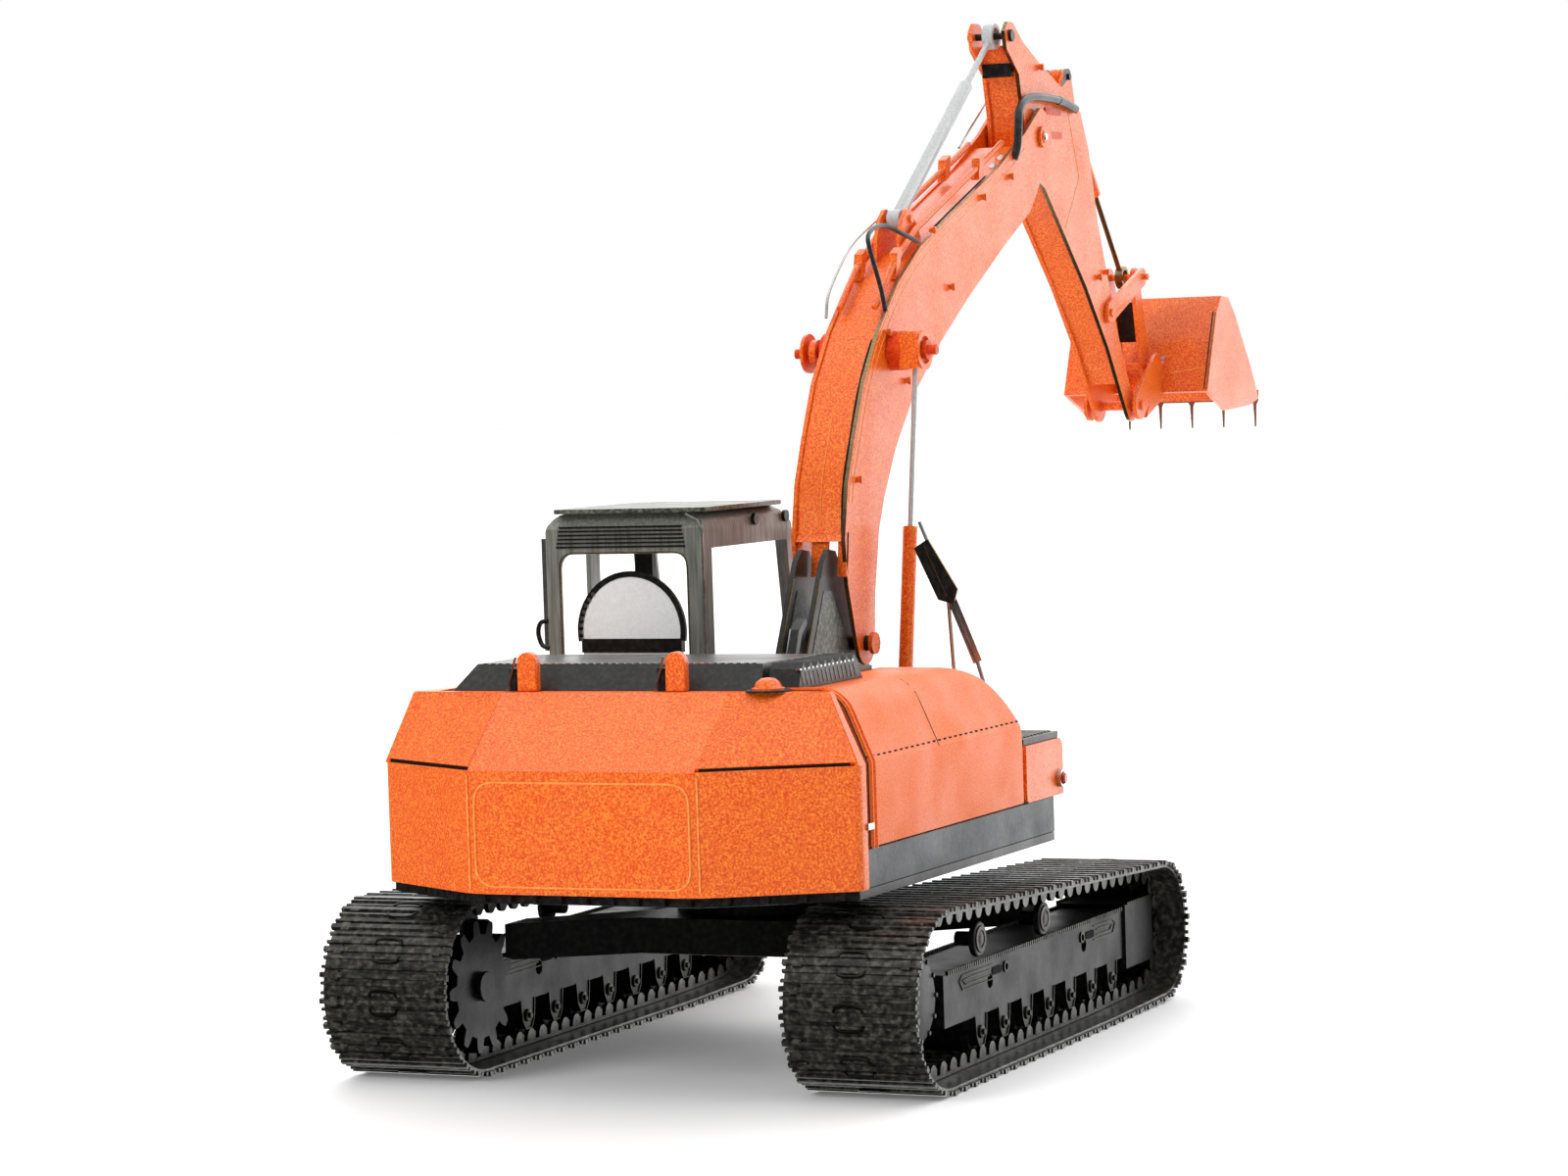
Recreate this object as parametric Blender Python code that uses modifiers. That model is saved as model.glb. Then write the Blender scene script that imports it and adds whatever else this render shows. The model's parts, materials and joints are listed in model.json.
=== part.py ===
"""Scale model of a crawler excavator, made of thin folded sheet.

Lengths are millimetres, and the root empty scales the model to metres. Forward, towards the bucket, is -Y, the
cab is on +X and the ground is z = 0. The drawing uses the machine's own station line for y, and the root moves it so
that the origin lies under the middle of the whole machine. Outlines across the machine are (y, z) points.
"""
from math import atan2, cos, hypot, pi, radians, sin

import bmesh
import bpy
from mathutils import Matrix, Vector

MM = 0.001
SHIFT_Y = 22.375                # from the station line to the origin

SHEET = 0.3                     # sheet thickness
GAP = 0.03                      # between pieces that touch or slide
TRACK_W = 40.0                  # over both tracks
BAND_W = 8.9                    # one track band
HOUSE_X = 15.9                  # half width of the house
BOOM_X = -0.9                   # middle plane of boom, arm and bucket
BOOM_HALF = 1.95
ARM_HALF = 1.45
BUCKET_HALF = 6.0
CYLINDER_OUT = 3.65             # boom cylinders, from the boom's middle plane

FLOOR_Z, SKIRT_Z, BODY_Z = 11.9, 12.5, 14.8
FOLD_Z, TOP_Z = 19.9, 24.2      # fold line round the house, and its top
CAB_TOP = 34.2

SWING = (0.0, 5.2, 0.0)
BOOM_FOOT = (-4.4, 24.9)
BOOM_CYL_BASE, BOOM_CYL_TOP = (-6.6, 21.0), (-10.4, 44.25)
ARM_PIVOT = (-39.8, 59.7)
ARM_CYL_BASE, ARM_CYL_TOP = (-16.4, 53.3), (-35.3, 66.9)
BUCKET_PIVOT, BUCKET_LINK = (-59.3, 39.6), (-63.5, 42.6)
ROCKER_PIVOT, ROCKER_TOP = (-54.2, 46.8), (-61.8, 49.6)
BUCKET_CYL_BASE = (-48.6, 64.6)

REAR, REAR_R = (24.1, 5.6), 5.6             # the track's rear turn
FRONT, FRONT_R = (-14.0, 4.85), 4.7
KINK_Y = -4.2                   # the lower run is flat behind this station, and rises ahead of it
GROUSER = 0.18                  # height of the ridge on each shoe
SHOE_PITCH = 1.62

WELD = 1e-4
LOOK = {"x": (pi / 2, 0, pi / 2), "y": (pi / 2, 0, 0), "z": (0, 0, 0)}
AXES = {"x": Vector((1, 0, 0)), "y": Vector((0, 1, 0)), "z": Vector((0, 0, 1))}

for old in list(bpy.data.objects):
    bpy.data.objects.remove(old, do_unlink=True)


def collection(name):
    made = bpy.data.collections.new(name)
    bpy.context.scene.collection.children.link(made)
    return made


def material(name, colour, roughness, metallic=0.0):
    made = bpy.data.materials.new(name)
    made.use_nodes = True
    shader = made.node_tree.nodes["Principled BSDF"]
    shader.inputs["Base Color"].default_value = (*colour, 1.0)
    shader.inputs["Roughness"].default_value = roughness
    shader.inputs["Metallic"].default_value = metallic
    return made


MODEL, CUTTERS = collection("excavator"), collection("cutters")
ORANGE = material("orange_paint", (0.93, 0.17, 0.015), 0.38)
DARK = material("dark_paint", (0.05, 0.055, 0.065), 0.42)
BLACK = material("black_plate", (0.02, 0.02, 0.018), 0.38)
TRACK = material("track_steel", (0.03, 0.03, 0.028), 0.38, 0.3)
STEEL = material("bare_steel", (0.62, 0.63, 0.62), 0.28, 1.0)
LAMP = material("lamp_plastic", (0.45, 0.03, 0.02), 0.2)


# ---------------------------------------------------------------- placing

def empty(name, parent=None, at=(0, 0, 0)):
    """An empty at a station point, such as one on a joint's axis."""
    made = bpy.data.objects.new(name, None)
    MODEL.objects.link(made)
    made.parent = parent
    made.location = Vector(at) - stand(parent)
    return made


def stand(obj):
    """The station point where an object's origin is; the root itself only scales and shifts."""
    if obj is None or obj.parent is None:
        return Vector()
    return stand(obj.parent) + obj.location


def put(obj, parent, look):
    """Makes a drawn object a finished piece on its parent, in its material."""
    MODEL.objects.link(obj)
    obj.data.materials.append(look)
    obj.parent = parent
    obj.location = obj.location - stand(parent)
    return obj


def helper(obj):
    CUTTERS.objects.link(obj)
    obj.parent = ROOT
    obj.hide_render = True
    obj.display_type = "WIRE"
    return obj


def combined(base, others, operation="UNION"):
    """The base with the other solids joined to it or cut from it."""
    for other in others:
        change = base.modifiers.new(operation.lower(), "BOOLEAN")
        change.operation = operation
        change.object = helper(other)
    return base


ROOT = empty("excavator", at=(0, SHIFT_Y * MM, 0))
ROOT.scale = (MM, MM, MM)


# ---------------------------------------------------------------- shapes

def arc(centre, radius, start, end, steps):
    """Points on an arc, angles in degrees."""
    turn = [radians(start + (end - start) * i / steps) for i in range(steps + 1)]
    return [(centre[0] + radius * cos(a), centre[1] + radius * sin(a)) for a in turn]


def circle(centre, radius, steps=12):
    return arc(centre, radius, 0, 360, steps)[:-1]


def link_outline(a, b, radius_a, radius_b, steps=7):
    """Outline of a link with round ends about a and b."""
    turn = atan2(b[1] - a[1], b[0] - a[0]) * 180 / pi
    return arc(a, radius_a, turn + 90, turn + 270, steps) + arc(b, radius_b, turn - 90, turn + 90, steps)


def oblong(lo, hi, radius, steps=4):
    """Rectangle with round corners."""
    corners = [(hi[0] - radius, hi[1] - radius, 0), (lo[0] + radius, hi[1] - radius, 90),
               (lo[0] + radius, lo[1] + radius, 180), (hi[0] - radius, lo[1] + radius, 270)]
    return [p for x, y, start in corners for p in arc((x, y), radius, start, start + 90, steps)]


def area(loop):
    return sum(a[0] * b[1] - b[0] * a[1] for a, b in zip(loop, loop[1:] + loop[:1])) / 2


def plate(name, outline, lo, hi, axis="x", holes=()):
    """A flat outline with holes, filled from lo to hi along an axis, as a 2D curve."""
    curve = bpy.data.curves.new(name, "CURVE")
    curve.dimensions = "2D"
    curve.fill_mode = "BOTH"
    curve.extrude = abs(hi - lo) / 2
    for k, loop in enumerate([outline, *holes]):
        points = loop if (area(loop) > 0) == (k == 0) else loop[::-1]
        spline = curve.splines.new("POLY")
        spline.points.add(len(points) - 1)
        for place, (a, b) in zip(spline.points, points):
            place.co = (a, b, 0, 1)
        spline.use_cyclic_u = True
    obj = bpy.data.objects.new(name, curve)
    obj.rotation_euler = LOOK[axis]
    obj.location = AXES[axis] * (lo + hi) / 2
    return obj


def wire(name, points, radius):
    """A round wire along points."""
    curve = bpy.data.curves.new(name, "CURVE")
    curve.dimensions = "3D"
    curve.bevel_depth = radius
    curve.bevel_resolution = 2
    curve.use_fill_caps = True
    spline = curve.splines.new("POLY")
    spline.points.add(len(points) - 1)
    for place, point in zip(spline.points, points):
        place.co = (*point, 1)
    return bpy.data.objects.new(name, curve)


def meshed(obj):
    """A curve object turned into a mesh, with its caps welded."""
    bpy.context.scene.collection.objects.link(obj)
    bpy.context.view_layer.update()
    mesh = bpy.data.meshes.new_from_object(obj.evaluated_get(bpy.context.evaluated_depsgraph_get()))
    name, matrix = obj.name, obj.matrix_world.copy()
    bpy.data.objects.remove(obj, do_unlink=True)
    bm = bmesh.new()
    bm.from_mesh(mesh)
    bmesh.ops.remove_doubles(bm, verts=bm.verts, dist=WELD)
    bmesh.ops.recalc_face_normals(bm, faces=bm.faces)
    bm.to_mesh(mesh)
    bm.free()
    solid = bpy.data.objects.new(name, mesh)
    solid.matrix_world = matrix
    return solid


def solid(name, outline, lo, hi, axis="x", holes=()):
    """A plate as a mesh, for a piece that is cut or joined."""
    return meshed(plate(name, outline, lo, hi, axis, holes))


def mesh_of(bm, name):
    mesh = bpy.data.meshes.new(name)
    bm.to_mesh(mesh)
    bm.free()
    return bpy.data.objects.new(name, mesh)


def block(name, x, y, z):
    """A box between two values on each axis, with its origin in its middle."""
    spans = [sorted(span) for span in (x, y, z)]
    bm = bmesh.new()
    bmesh.ops.create_cube(bm, size=1, matrix=Matrix.Diagonal([hi - lo for lo, hi in spans] + [1]))
    obj = mesh_of(bm, name)
    obj.location = [(lo + hi) / 2 for lo, hi in spans]
    return obj


def turned(name, profile, at, way, steps=14):
    """A turned solid: its profile is (distance along the axis, radius), and it starts at a point."""
    points = [(r, 0, d) for d, r in reversed(profile)]
    edges = [(i, i + 1) for i in range(len(points) - 1)]
    mesh = bpy.data.meshes.new(name)
    mesh.from_pydata(points, edges, [])
    obj = bpy.data.objects.new(name, mesh)
    screw = obj.modifiers.new("turn", "SCREW")
    screw.axis = "Z"
    screw.steps = screw.render_steps = steps
    screw.use_merge_vertices = True
    screw.merge_threshold = WELD
    screw.use_smooth_shade = True
    obj.rotation_euler = Vector(way).to_track_quat("Z", "Y").to_euler()
    obj.location = at
    return obj


def rod_profile(length, radius, collars=()):
    """Profile of a round rod; each collar is (from, to, radius)."""
    profile = [(0, 0), (0, radius)]
    for start, end, wide in sorted(collars):
        profile += [(start, radius), (start, wide), (end, wide), (end, radius)]
    profile += [(length, radius), (length, 0)]
    return [p for k, p in enumerate(profile) if k == 0 or p != profile[k - 1]]


def pin(name, centre, half, radius, collars=()):
    """A pin across the boom's middle plane; its collars are (from, to, radius) out from the middle."""
    both = [(half + lo, half + hi, wide) for lo, hi, wide in collars]
    both += [(half - hi, half - lo, wide) for lo, hi, wide in collars]
    return turned(name, rod_profile(2 * half, radius, both), (BOOM_X - half, *centre), AXES["x"])


# ---------------------------------------------------------------- undercarriage

def track_loop(inset, steps=14):
    """The track's loop, inset from its outside."""
    rise = atan2(FRONT[1] - FRONT_R, KINK_Y - FRONT[0]) * 180 / pi
    rear_r, front_r = REAR_R - inset, FRONT_R - inset
    top = 90 + atan2(REAR[1] + rear_r - FRONT[1] - front_r, REAR[0] - FRONT[0]) * 180 / pi
    return arc(REAR, rear_r, -90, top, steps) + arc(FRONT, front_r, top, 270 - rise, steps) + [(KINK_Y, inset)]


def walk(loop, pitch):
    """Evenly spaced points on a closed loop, each with its outward normal."""
    pairs = list(zip(loop, loop[1:] + loop[:1]))
    total = sum(hypot(b[0] - a[0], b[1] - a[1]) for a, b in pairs)
    count = round(total / pitch)
    found, left = [], 0.0
    for a, b in pairs:
        run = hypot(b[0] - a[0], b[1] - a[1])
        u = ((b[0] - a[0]) / run, (b[1] - a[1]) / run)
        while left < run - 1e-9:
            found.append(((a[0] + u[0] * left, a[1] + u[1] * left), (u[1], -u[0])))
            left += total / count
        left -= run
    return found[:count]


def ridged_loop():
    """The track's outside: a low ridge on each shoe."""
    steps = ((-0.25, 0.0), (-0.2, GROUSER), (0.2, GROUSER), (0.25, 0.0))
    points = []
    for (y, z), (ny, nz) in walk(track_loop(GROUSER), SHOE_PITCH):
        points += [(y - nz * u + ny * h, max(z + ny * u + nz * h, 0.0)) for u, h in steps]
    return points


def track_frame(side, s):
    """Side frame with seven roller brackets, the arm round the sprocket and the sprocket's axle."""
    low, high = 3.35, 6.6
    wide = sorted((s * 17.9, s * 13.4))
    holes = [circle((13.0, 5.2), 0.45, 8), circle((-3.6, 5.2), 0.45, 8)]
    beam = solid(f"track_frame_{side}", [(-11.0, low), (20.6, low), (20.6, high), (-11.0, high)], *wide, holes=holes)
    arm = [(19.0, low + 0.1)] + arc(REAR, REAR[1] - low - 0.1, -90, 130, 12) + [(19.0, high - 0.1)]
    others = [solid("sprocket_arm", arm, *sorted((s * 14.7, s * 13.5)))]
    axle = [(0, 0), (0, 1.1), (1.2, 1.1), (1.2, 0.55), (2.1, 0.55), (2.1, 0.95), (2.4, 0.95), (2.4, 0)]
    others.append(turned("axle", axle, (s * 13.6, *REAR), (-s, 0, 0)))
    half = [(0.9, low + 0.3), (0.9, low), (0.75, 2.0), (0.4, 1.5)]
    for k in range(7):
        y = -8.6 + k * 3.9
        bracket = [(y + a, z) for a, z in half] + [(y - a, z) for a, z in reversed(half)]
        others.append(solid("roller_bracket", bracket, *wide))
    return combined(beam, others)


def sprocket_outline(teeth=13, root=3.2, tip=4.15):
    corners = ((-0.14, root), (-0.07, tip), (0.07, tip), (0.14, root))
    return [(REAR[0] + r * cos(2 * pi * i / teeth + a), REAR[1] + r * sin(2 * pi * i / teeth + a))
            for i in range(teeth) for a, r in corners]


def track(side, s):
    band = sorted((s * TRACK_W / 2, s * (TRACK_W / 2 - BAND_W)))
    put(plate(f"track_band_{side}", ridged_loop(), *band, holes=[track_loop(GROUSER + SHEET)]), ROOT, TRACK)
    outside = GROUSER + SHEET + GAP
    middle = s * 15.6
    put(plate(f"track_chain_{side}", track_loop(outside), middle - 2.4, middle + 2.4,
              holes=[track_loop(outside + 0.75)]), ROOT, TRACK)
    put(track_frame(side, s), ROOT, TRACK)
    put(block(f"track_frame_end_{side}", (s * 18.1, s * 13.2), (-16.4, -11.03), (2.6, 6.9)), ROOT, TRACK)
    roller = [(0, 0), (0, 0.45), (1.2, 0.45), (1.2, 1.1), (1.55, 1.1), (1.6, 1.0), (1.6, 0)]
    for end, y, z in (("rear", 14.4, 8.0), ("front", 3.4, 7.85)):
        put(turned(f"carrier_roller_{end}_{side}", roller, (s * 16.3, y, z), (s, 0, 0)), ROOT, TRACK)
    axle = empty(f"{side}_sprocket_axle", ROOT, (s * 11.95, *REAR))
    put(plate(f"sprocket_{side}", sprocket_outline(), *sorted((s * 11.6, s * 12.3)),
              holes=[circle(REAR, 0.62, 14)]), axle, TRACK)


def centre_frame():
    legs = [(-6.0, -3.0), (-13.35, -7.5), (-13.35, -4.5), (-6.6, 1.2), (-6.6, 8.8), (-13.35, 14.6), (-13.35, 17.6),
            (-6.0, 13.0)]
    put(plate("centre_frame", legs + [(-x, y) for x, y in reversed(legs)], 6.3, 8.6, "z"), ROOT, BLACK)
    ring = [(0, 4.2), (0, 6.4), (1.1, 6.4), (1.1, 5.6), (3.27, 5.6), (3.27, 4.2), (0, 4.2)]
    put(turned("slew_ring", ring, (0, SWING[1], 8.6), AXES["z"], 32), ROOT, BLACK)


# ---------------------------------------------------------------- house

TAIL_Y, CORNER_Y, CORNER_X = 32.6, 27.6, 7.4
TAIL_FRONT = 26.6
HOOD_REAR = 26.57


def counterweight():
    """Hollow tail: a skin that leans in above the fold, closed on top and open below and in front."""
    levels = [(SKIRT_Z, HOUSE_X, CORNER_Y, CORNER_X, TAIL_Y), (FOLD_Z, HOUSE_X, CORNER_Y, CORNER_X, TAIL_Y),
              (TOP_Z, 13.9, 27.15, 7.6, 27.6)]
    bm = bmesh.new()
    rings = []
    for z, x, corner_y, back_x, back_y in levels:
        half = [(x, TAIL_FRONT), (x, corner_y), (back_x, back_y)]
        ring = half + [(-a, b) for a, b in reversed(half)]
        rings.append([bm.verts.new((a, b, z)) for a, b in ring])
    for low, high in zip(rings, rings[1:]):
        for i in range(len(low) - 1):
            bm.faces.new((low[i], low[i + 1], high[i + 1], high[i]))
    bm.faces.new(rings[-1])
    skin = mesh_of(bm, "counterweight")
    shell = skin.modifiers.new("sheet", "SOLIDIFY")
    shell.thickness = SHEET
    shell.offset = -1
    shell.use_even_offset = True
    return skin


def leaning(obj, s, lean=1.8):
    """Folds a side panel at the fold line, so that its outside leans in above it."""
    bm = bmesh.new()
    bm.from_mesh(obj.data)
    bm.transform(obj.matrix_basis)
    bmesh.ops.bisect_plane(bm, geom=bm.verts[:] + bm.edges[:] + bm.faces[:], plane_co=(0, 0, FOLD_Z),
                           plane_no=(0, 0, 1))
    outside = max(s * v.co.x for v in bm.verts)
    for v in bm.verts:
        if v.co.z > FOLD_Z and s * v.co.x > outside - WELD:
            v.co.x -= s * lean * (v.co.z - FOLD_Z) / (TOP_Z - FOLD_Z)
    name = obj.name
    bpy.data.objects.remove(obj, do_unlink=True)
    return mesh_of(bm, name)


def hood(side, s):
    """Side of the house behind the cab or the step box; the right one has a round front shoulder."""
    if side == "right":
        front, turn_y, turn_z, inner = 0.1, 7.9, 5.6, 8.9
        steps = 10
        shoulder = [(front + turn_y * (1 - cos(pi / 2 * i / steps)), TOP_Z - turn_z * (1 - sin(pi / 2 * i / steps)))
                    for i in range(steps + 1)]
        outline = [(front, BODY_Z)] + shoulder + [(HOOD_REAR, TOP_Z), (HOOD_REAR, BODY_Z)]
        name = "hood_right"
    else:
        inner = 12.6
        outline = [(6.5, BODY_Z), (6.5, TOP_Z), (HOOD_REAR, TOP_Z), (HOOD_REAR, BODY_Z)]
        name = "side_panel_left"
    outside = HOUSE_X - SHEET / 2
    return leaning(solid(name, outline, *sorted((s * inner, s * outside))), s)


def engine_cover():
    """Raised cover with sloping sides, and the low deck ahead of it."""
    cover = block("engine_cover", (-9.2, 11.6), (16.0, 26.4), (TOP_Z, 25.75))
    right, left, ends = 0.4, 1.1, 1.2
    for v in cover.data.vertices:
        if v.co.z > 0:
            v.co.x += right if v.co.x < 0 else -left
            v.co.y += ends if v.co.y < 0 else -ends
    return combined(cover, [block("deck", (-9.2, 11.6), (9.6, 17.0), (TOP_Z, TOP_Z + SHEET))])


def engine_vent():
    louvres = [(16.0, TOP_Z)]
    for k in range(8):
        y = 17.0 + k * 1.07
        louvres += [(y, 25.4), (y + 0.35, 25.8), (y + 0.7, 25.4)]
    return plate("engine_vent", louvres + [(25.7, TOP_Z)], -11.3, -9.25)


def boom_bracket():
    """Two cheeks on a base, with the boom's foot pin and the pin of both boom cylinders."""
    cheek = [(4.6, 12.47), (3.6, 24.6), (0.4, 30.6), (-0.5, 31.35), (-1.6, 31.2), (-5.9, 24.6), (-7.5, 21.9),
             (-7.6, 20.4), (-6.6, 19.9), (-4.2, 15.4), (-4.2, 12.47)]
    inner, outer = 0.75, 1.15
    base = solid("boom_bracket", cheek, BOOM_X - outer, BOOM_X - inner)
    return combined(base, [
        solid("left_cheek", cheek, BOOM_X + inner, BOOM_X + outer),
        block("foot_plate", (BOOM_X - 0.9, BOOM_X + 0.9), (-4.15, 4.4), (12.47, 13.2)),
        pin("foot_pin", BOOM_FOOT, 2.65, 0.5, [(2.35, 2.65, 0.75)]),
        pin("cylinder_foot_pin", BOOM_CYL_BASE, 4.5, 0.32, [(4.2, 4.5, 0.5)])])


def house(base):
    corners = [(CORNER_X, TAIL_Y - 0.4), (HOUSE_X - 0.3, CORNER_Y - 0.2)]
    rear = corners + [(-x, y) for x, y in reversed(corners)]
    floor_front = [(-HOUSE_X + 0.3, -4.9), (4.0, -4.9), (4.0, -7.8), (HOUSE_X - 0.3, -7.8)]
    put(plate("house_floor", rear[:2] + floor_front[::-1] + rear[2:], FLOOR_Z, FLOOR_Z + 0.57, "z"), base, DARK)
    skirt = [(15.7, HOOD_REAR), (15.7, -7.6), (4.2, -7.6), (4.2, -4.7), (-15.7, -4.7), (-15.7, HOOD_REAR),
             (-15.3, HOOD_REAR), (-15.3, -4.3), (4.6, -4.3), (4.6, -7.2), (15.3, -7.2), (15.3, HOOD_REAR)]
    put(plate("skirt", skirt, SKIRT_Z, BODY_Z, "z"), base, DARK)
    put(counterweight(), base, ORANGE)
    put(hood("right", -1), base, ORANGE)
    put(hood("left", 1), base, ORANGE)
    put(engine_cover(), base, BLACK)
    put(engine_vent(), base, BLACK)
    for side, x in (("left", 6.1), ("right", -3.9)):
        lug = [(x + 0.65, TOP_Z)] + arc((x, 25.95), 0.65, 0, 180, 8) + [(x - 0.65, TOP_Z)]
        put(plate(f"lifting_lug_{side}", lug, 26.5, 27.2, "y"), base, ORANGE)
    cap = [(0, 0), (0, 1.0), (0.25, 1.0), (0.25, 0.85), (0.6, 0.7), (0.8, 0.4), (0.85, 0)]
    put(turned("filler_cap", cap, (-9.9, 26.95, TOP_Z), AXES["z"]), base, ORANGE)
    horn = [(5.2, 12.5), (4.6, 12.5), (4.5, 24.8), (3.9, 26.0), (3.0, 26.7), (3.3, 27.1), (4.4, 26.4), (5.1, 24.9)]
    put(plate("exhaust", horn, -1.9, -1.2), base, BLACK)
    step = [(-6.6, BODY_Z), (0.07, BODY_Z), (0.07, 18.5), (-6.2, 18.5), (-6.6, 18.1)]
    put(plate("step_box", step, -15.7, -8.9), base, ORANGE)
    put(block("step_box_lid", (-15.5, -9.1), (-6.3, 0.0), (18.5, 18.95)), base, BLACK)
    lens = [(0, 0), (0, 0.42), (0.35, 0.42), (0.5, 0.3), (0.5, 0)]
    put(turned("side_lamp", lens, (-15.7, -5.8, 15.9), (-1, 0, 0), 12), base, LAMP)
    put(boom_bracket(), base, BLACK)
    long_stay = [(-13.1, 18.95), (-11.7, 23.8), (-9.9, 28.2), (-7.9, 33.0)]
    short_stay = [(-10.4, 18.95), (-10.0, 23.8), (-9.75, 28.6)]
    stays = [meshed(wire("mirror_stay", [(x, -2.0, z) for x, z in run], 0.14)) for run in (long_stay, short_stay)]
    put(combined(stays[0], stays[1:]), base, STEEL)
    glass = [(-7.6, 31.3), (-8.6, 31.9), (-10.6, 28.6), (-10.3, 27.6), (-9.2, 27.9)]
    put(plate("mirror", glass, -1.84, -1.6, "y"), base, BLACK)


# ---------------------------------------------------------------- cab

CAB_X = (3.9, 15.4)
CAB_REAR, CAB_NOSE = 6.2, -9.2
CAB_WALL = 0.35


def cab_frame():
    """Sheet shell with a rounded top, cut open inside, and a window or door on each side."""
    side = [(CAB_REAR, BODY_Z), (CAB_REAR, 33.2), (5.3, CAB_TOP), (-6.2, CAB_TOP), (-7.8, 32.9), (CAB_NOSE, 24.2),
            (CAB_NOSE, 16.0), (-8.2, BODY_Z)]
    within = [(CAB_REAR - CAB_WALL, 15.2), (CAB_REAR - CAB_WALL, 33.1), (5.2, 33.85), (-6.1, 33.85), (-7.5, 32.8),
              (-8.85, 24.2), (-8.85, 16.1), (-8.1, 15.2)]
    lo, hi = CAB_X
    corner = 1.2
    across = [(lo, BODY_Z)] + arc((lo + corner, CAB_TOP - corner), corner, 180, 90, 4)
    across += arc((hi - corner, CAB_TOP - corner), corner, 90, 0, 4) + [(hi, BODY_Z)]
    shell = combined(solid("cab_frame", side, lo, hi), [solid("cab_front_view", across, -12, 8, "y")], "INTERSECT")
    room = [(lo + CAB_WALL, 15)] + arc((lo + corner, CAB_TOP - corner), corner - CAB_WALL, 180, 90, 4)
    room += arc((hi - corner, CAB_TOP - corner), corner - CAB_WALL, 90, 0, 4) + [(hi - CAB_WALL, 15)]
    inside = combined(solid("cab_room", within, lo, hi), [solid("cab_room_view", room, -12, 8, "y")], "INTERSECT")
    door = [(-1.0, 19.5), (-1.0, 31.8), (-6.7, 31.8), (-7.9, 24.2), (-7.9, 19.5)]
    right_window = [(4.9, 23.6), (4.9, 31.8), (-6.9, 31.8), (-8.0, 24.4), (-8.0, 23.6)]
    return combined(shell, [
        inside,
        block("roof_opening", (lo + 1.3, hi - 1.3), (-5.4, 4.8), (33, 36)),
        solid("rear_window", oblong((5.1, 24.0), (14.4, 31.6), 1.0), 5.0, 7.0, "y"),
        solid("right_window", right_window, 3.0, 5.0),
        block("left_window", (14.5, 16.0), (0.4, 4.9), (24.2, 31.8)),
        solid("door", door, 14.5, 16.0),
        block("windscreen", (5.1, 14.2), (-12.0, -6.8), (19.8, 32.2))], "DIFFERENCE")


def cab(base):
    put(cab_frame(), base, BLACK)
    roof = oblong((CAB_X[0] - 0.2, -6.3), (CAB_X[1] - 0.5, 6.3), 0.6, 3)
    put(plate("cab_roof", roof, CAB_TOP, CAB_TOP + SHEET, "z"), base, BLACK)
    middle, width = 9.9, 3.6
    back = [(middle - width, 20.4), (middle + width, 20.4)] + arc((middle, 26.4), width, 0, 180, 14)
    seat = solid("seat", back, 4.6, 4.95, "y")
    put(combined(seat, [block("cushion", (6.8, 13.0), (-1.2, 4.8), (20.4, 21.5)),
                        block("seat_base", (8.4, 11.4), (0.6, 3.6), (15.2, 20.6))]), base, STEEL)
    visor = [(8.9, 33.2), (8.9, 29.6), (9.3, 29.2), (10.2, 29.2), (10.2, 33.2)]
    put(plate("cab_visor", visor, 3.3, 3.6, "y"), base, BLACK)


# ---------------------------------------------------------------- boom

BOOM_REAR = [(-1.6, 29.0), (-1.35, 32.0), (-2.1, 35.6), (-3.5, 38.7), (-5.4, 42.3), (-8.2, 45.7), (-11.8, 48.9),
             (-16.0, 51.4), (-21.8, 53.7), (-31.0, 57.2), (-36.6, 59.9)]
BOOM_FRONT = [(-6.2, 28.2), (-7.2, 32.4), (-8.2, 34.4), (-10.4, 37.6), (-13.9, 41.2), (-19.1, 44.8), (-24.5, 47.9),
              (-31.7, 51.6), (-37.2, 54.2)]
FOOT_PIN, CYL_PIN, ARM_PIN = 0.5, 0.35, 0.45


def boom_box():
    """Folded back, belly and nose between the side plates, with the lugs and pin of the arm cylinder."""
    back = [(-1.75, 32.3)] + [(y - 0.12, z - 0.12) for y, z in BOOM_REAR[2:-1]] + [(-35.4, 58.9)]
    belly = [(y + 0.1, z + 0.15) for y, z in BOOM_FRONT[2:-1]] + [(-36.4, 54.1)]
    outline = back[::-1] + arc(BOOM_FOOT, 7.55, 66, 107, 5) + belly
    reach = BOOM_HALF - SHEET
    lug = [(-14.3, 50.0), (-14.6, 52.0), (-15.2, 53.3)] + arc(ARM_CYL_BASE, 0.75, 30, 170, 5)
    lug += [(-18.0, 52.6), (-18.6, 51.6)]
    core = solid("boom_box", outline, BOOM_X - reach, BOOM_X + reach, holes=[circle(BOOM_CYL_TOP, CYL_PIN + 0.02)])
    return combined(core, [solid("right_lug", lug, BOOM_X - 1.0, BOOM_X - 0.7),
                           solid("left_lug", lug, BOOM_X + 0.7, BOOM_X + 1.0),
                           pin("lug_pin", ARM_CYL_BASE, 1.2, 0.3)])


def boom_pipe(side, s):
    """Pipe along the boom's back, held by two clamps."""
    x = BOOM_X + s * 1.3
    run = [(-9.1, 47.18), (-12.45, 50.1), (-16.45, 52.5), (-22.25, 54.8), (-31.25, 58.2), (-33.45, 59.1)]
    clamps = [[(-12.2, 49.1), (-13.0, 49.62), (-13.4, 51.3), (-12.6, 50.9)],
              [(-28.0, 56.25), (-29.0, 56.65), (-29.2, 58.2), (-28.3, 57.8)]]
    pipe = meshed(wire(f"boom_pipe_{side}", [(x, y, z) for y, z in run], 0.24))
    return combined(pipe, [solid("clamp", clamp, x - 0.3, x + 0.3) for clamp in clamps])


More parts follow.
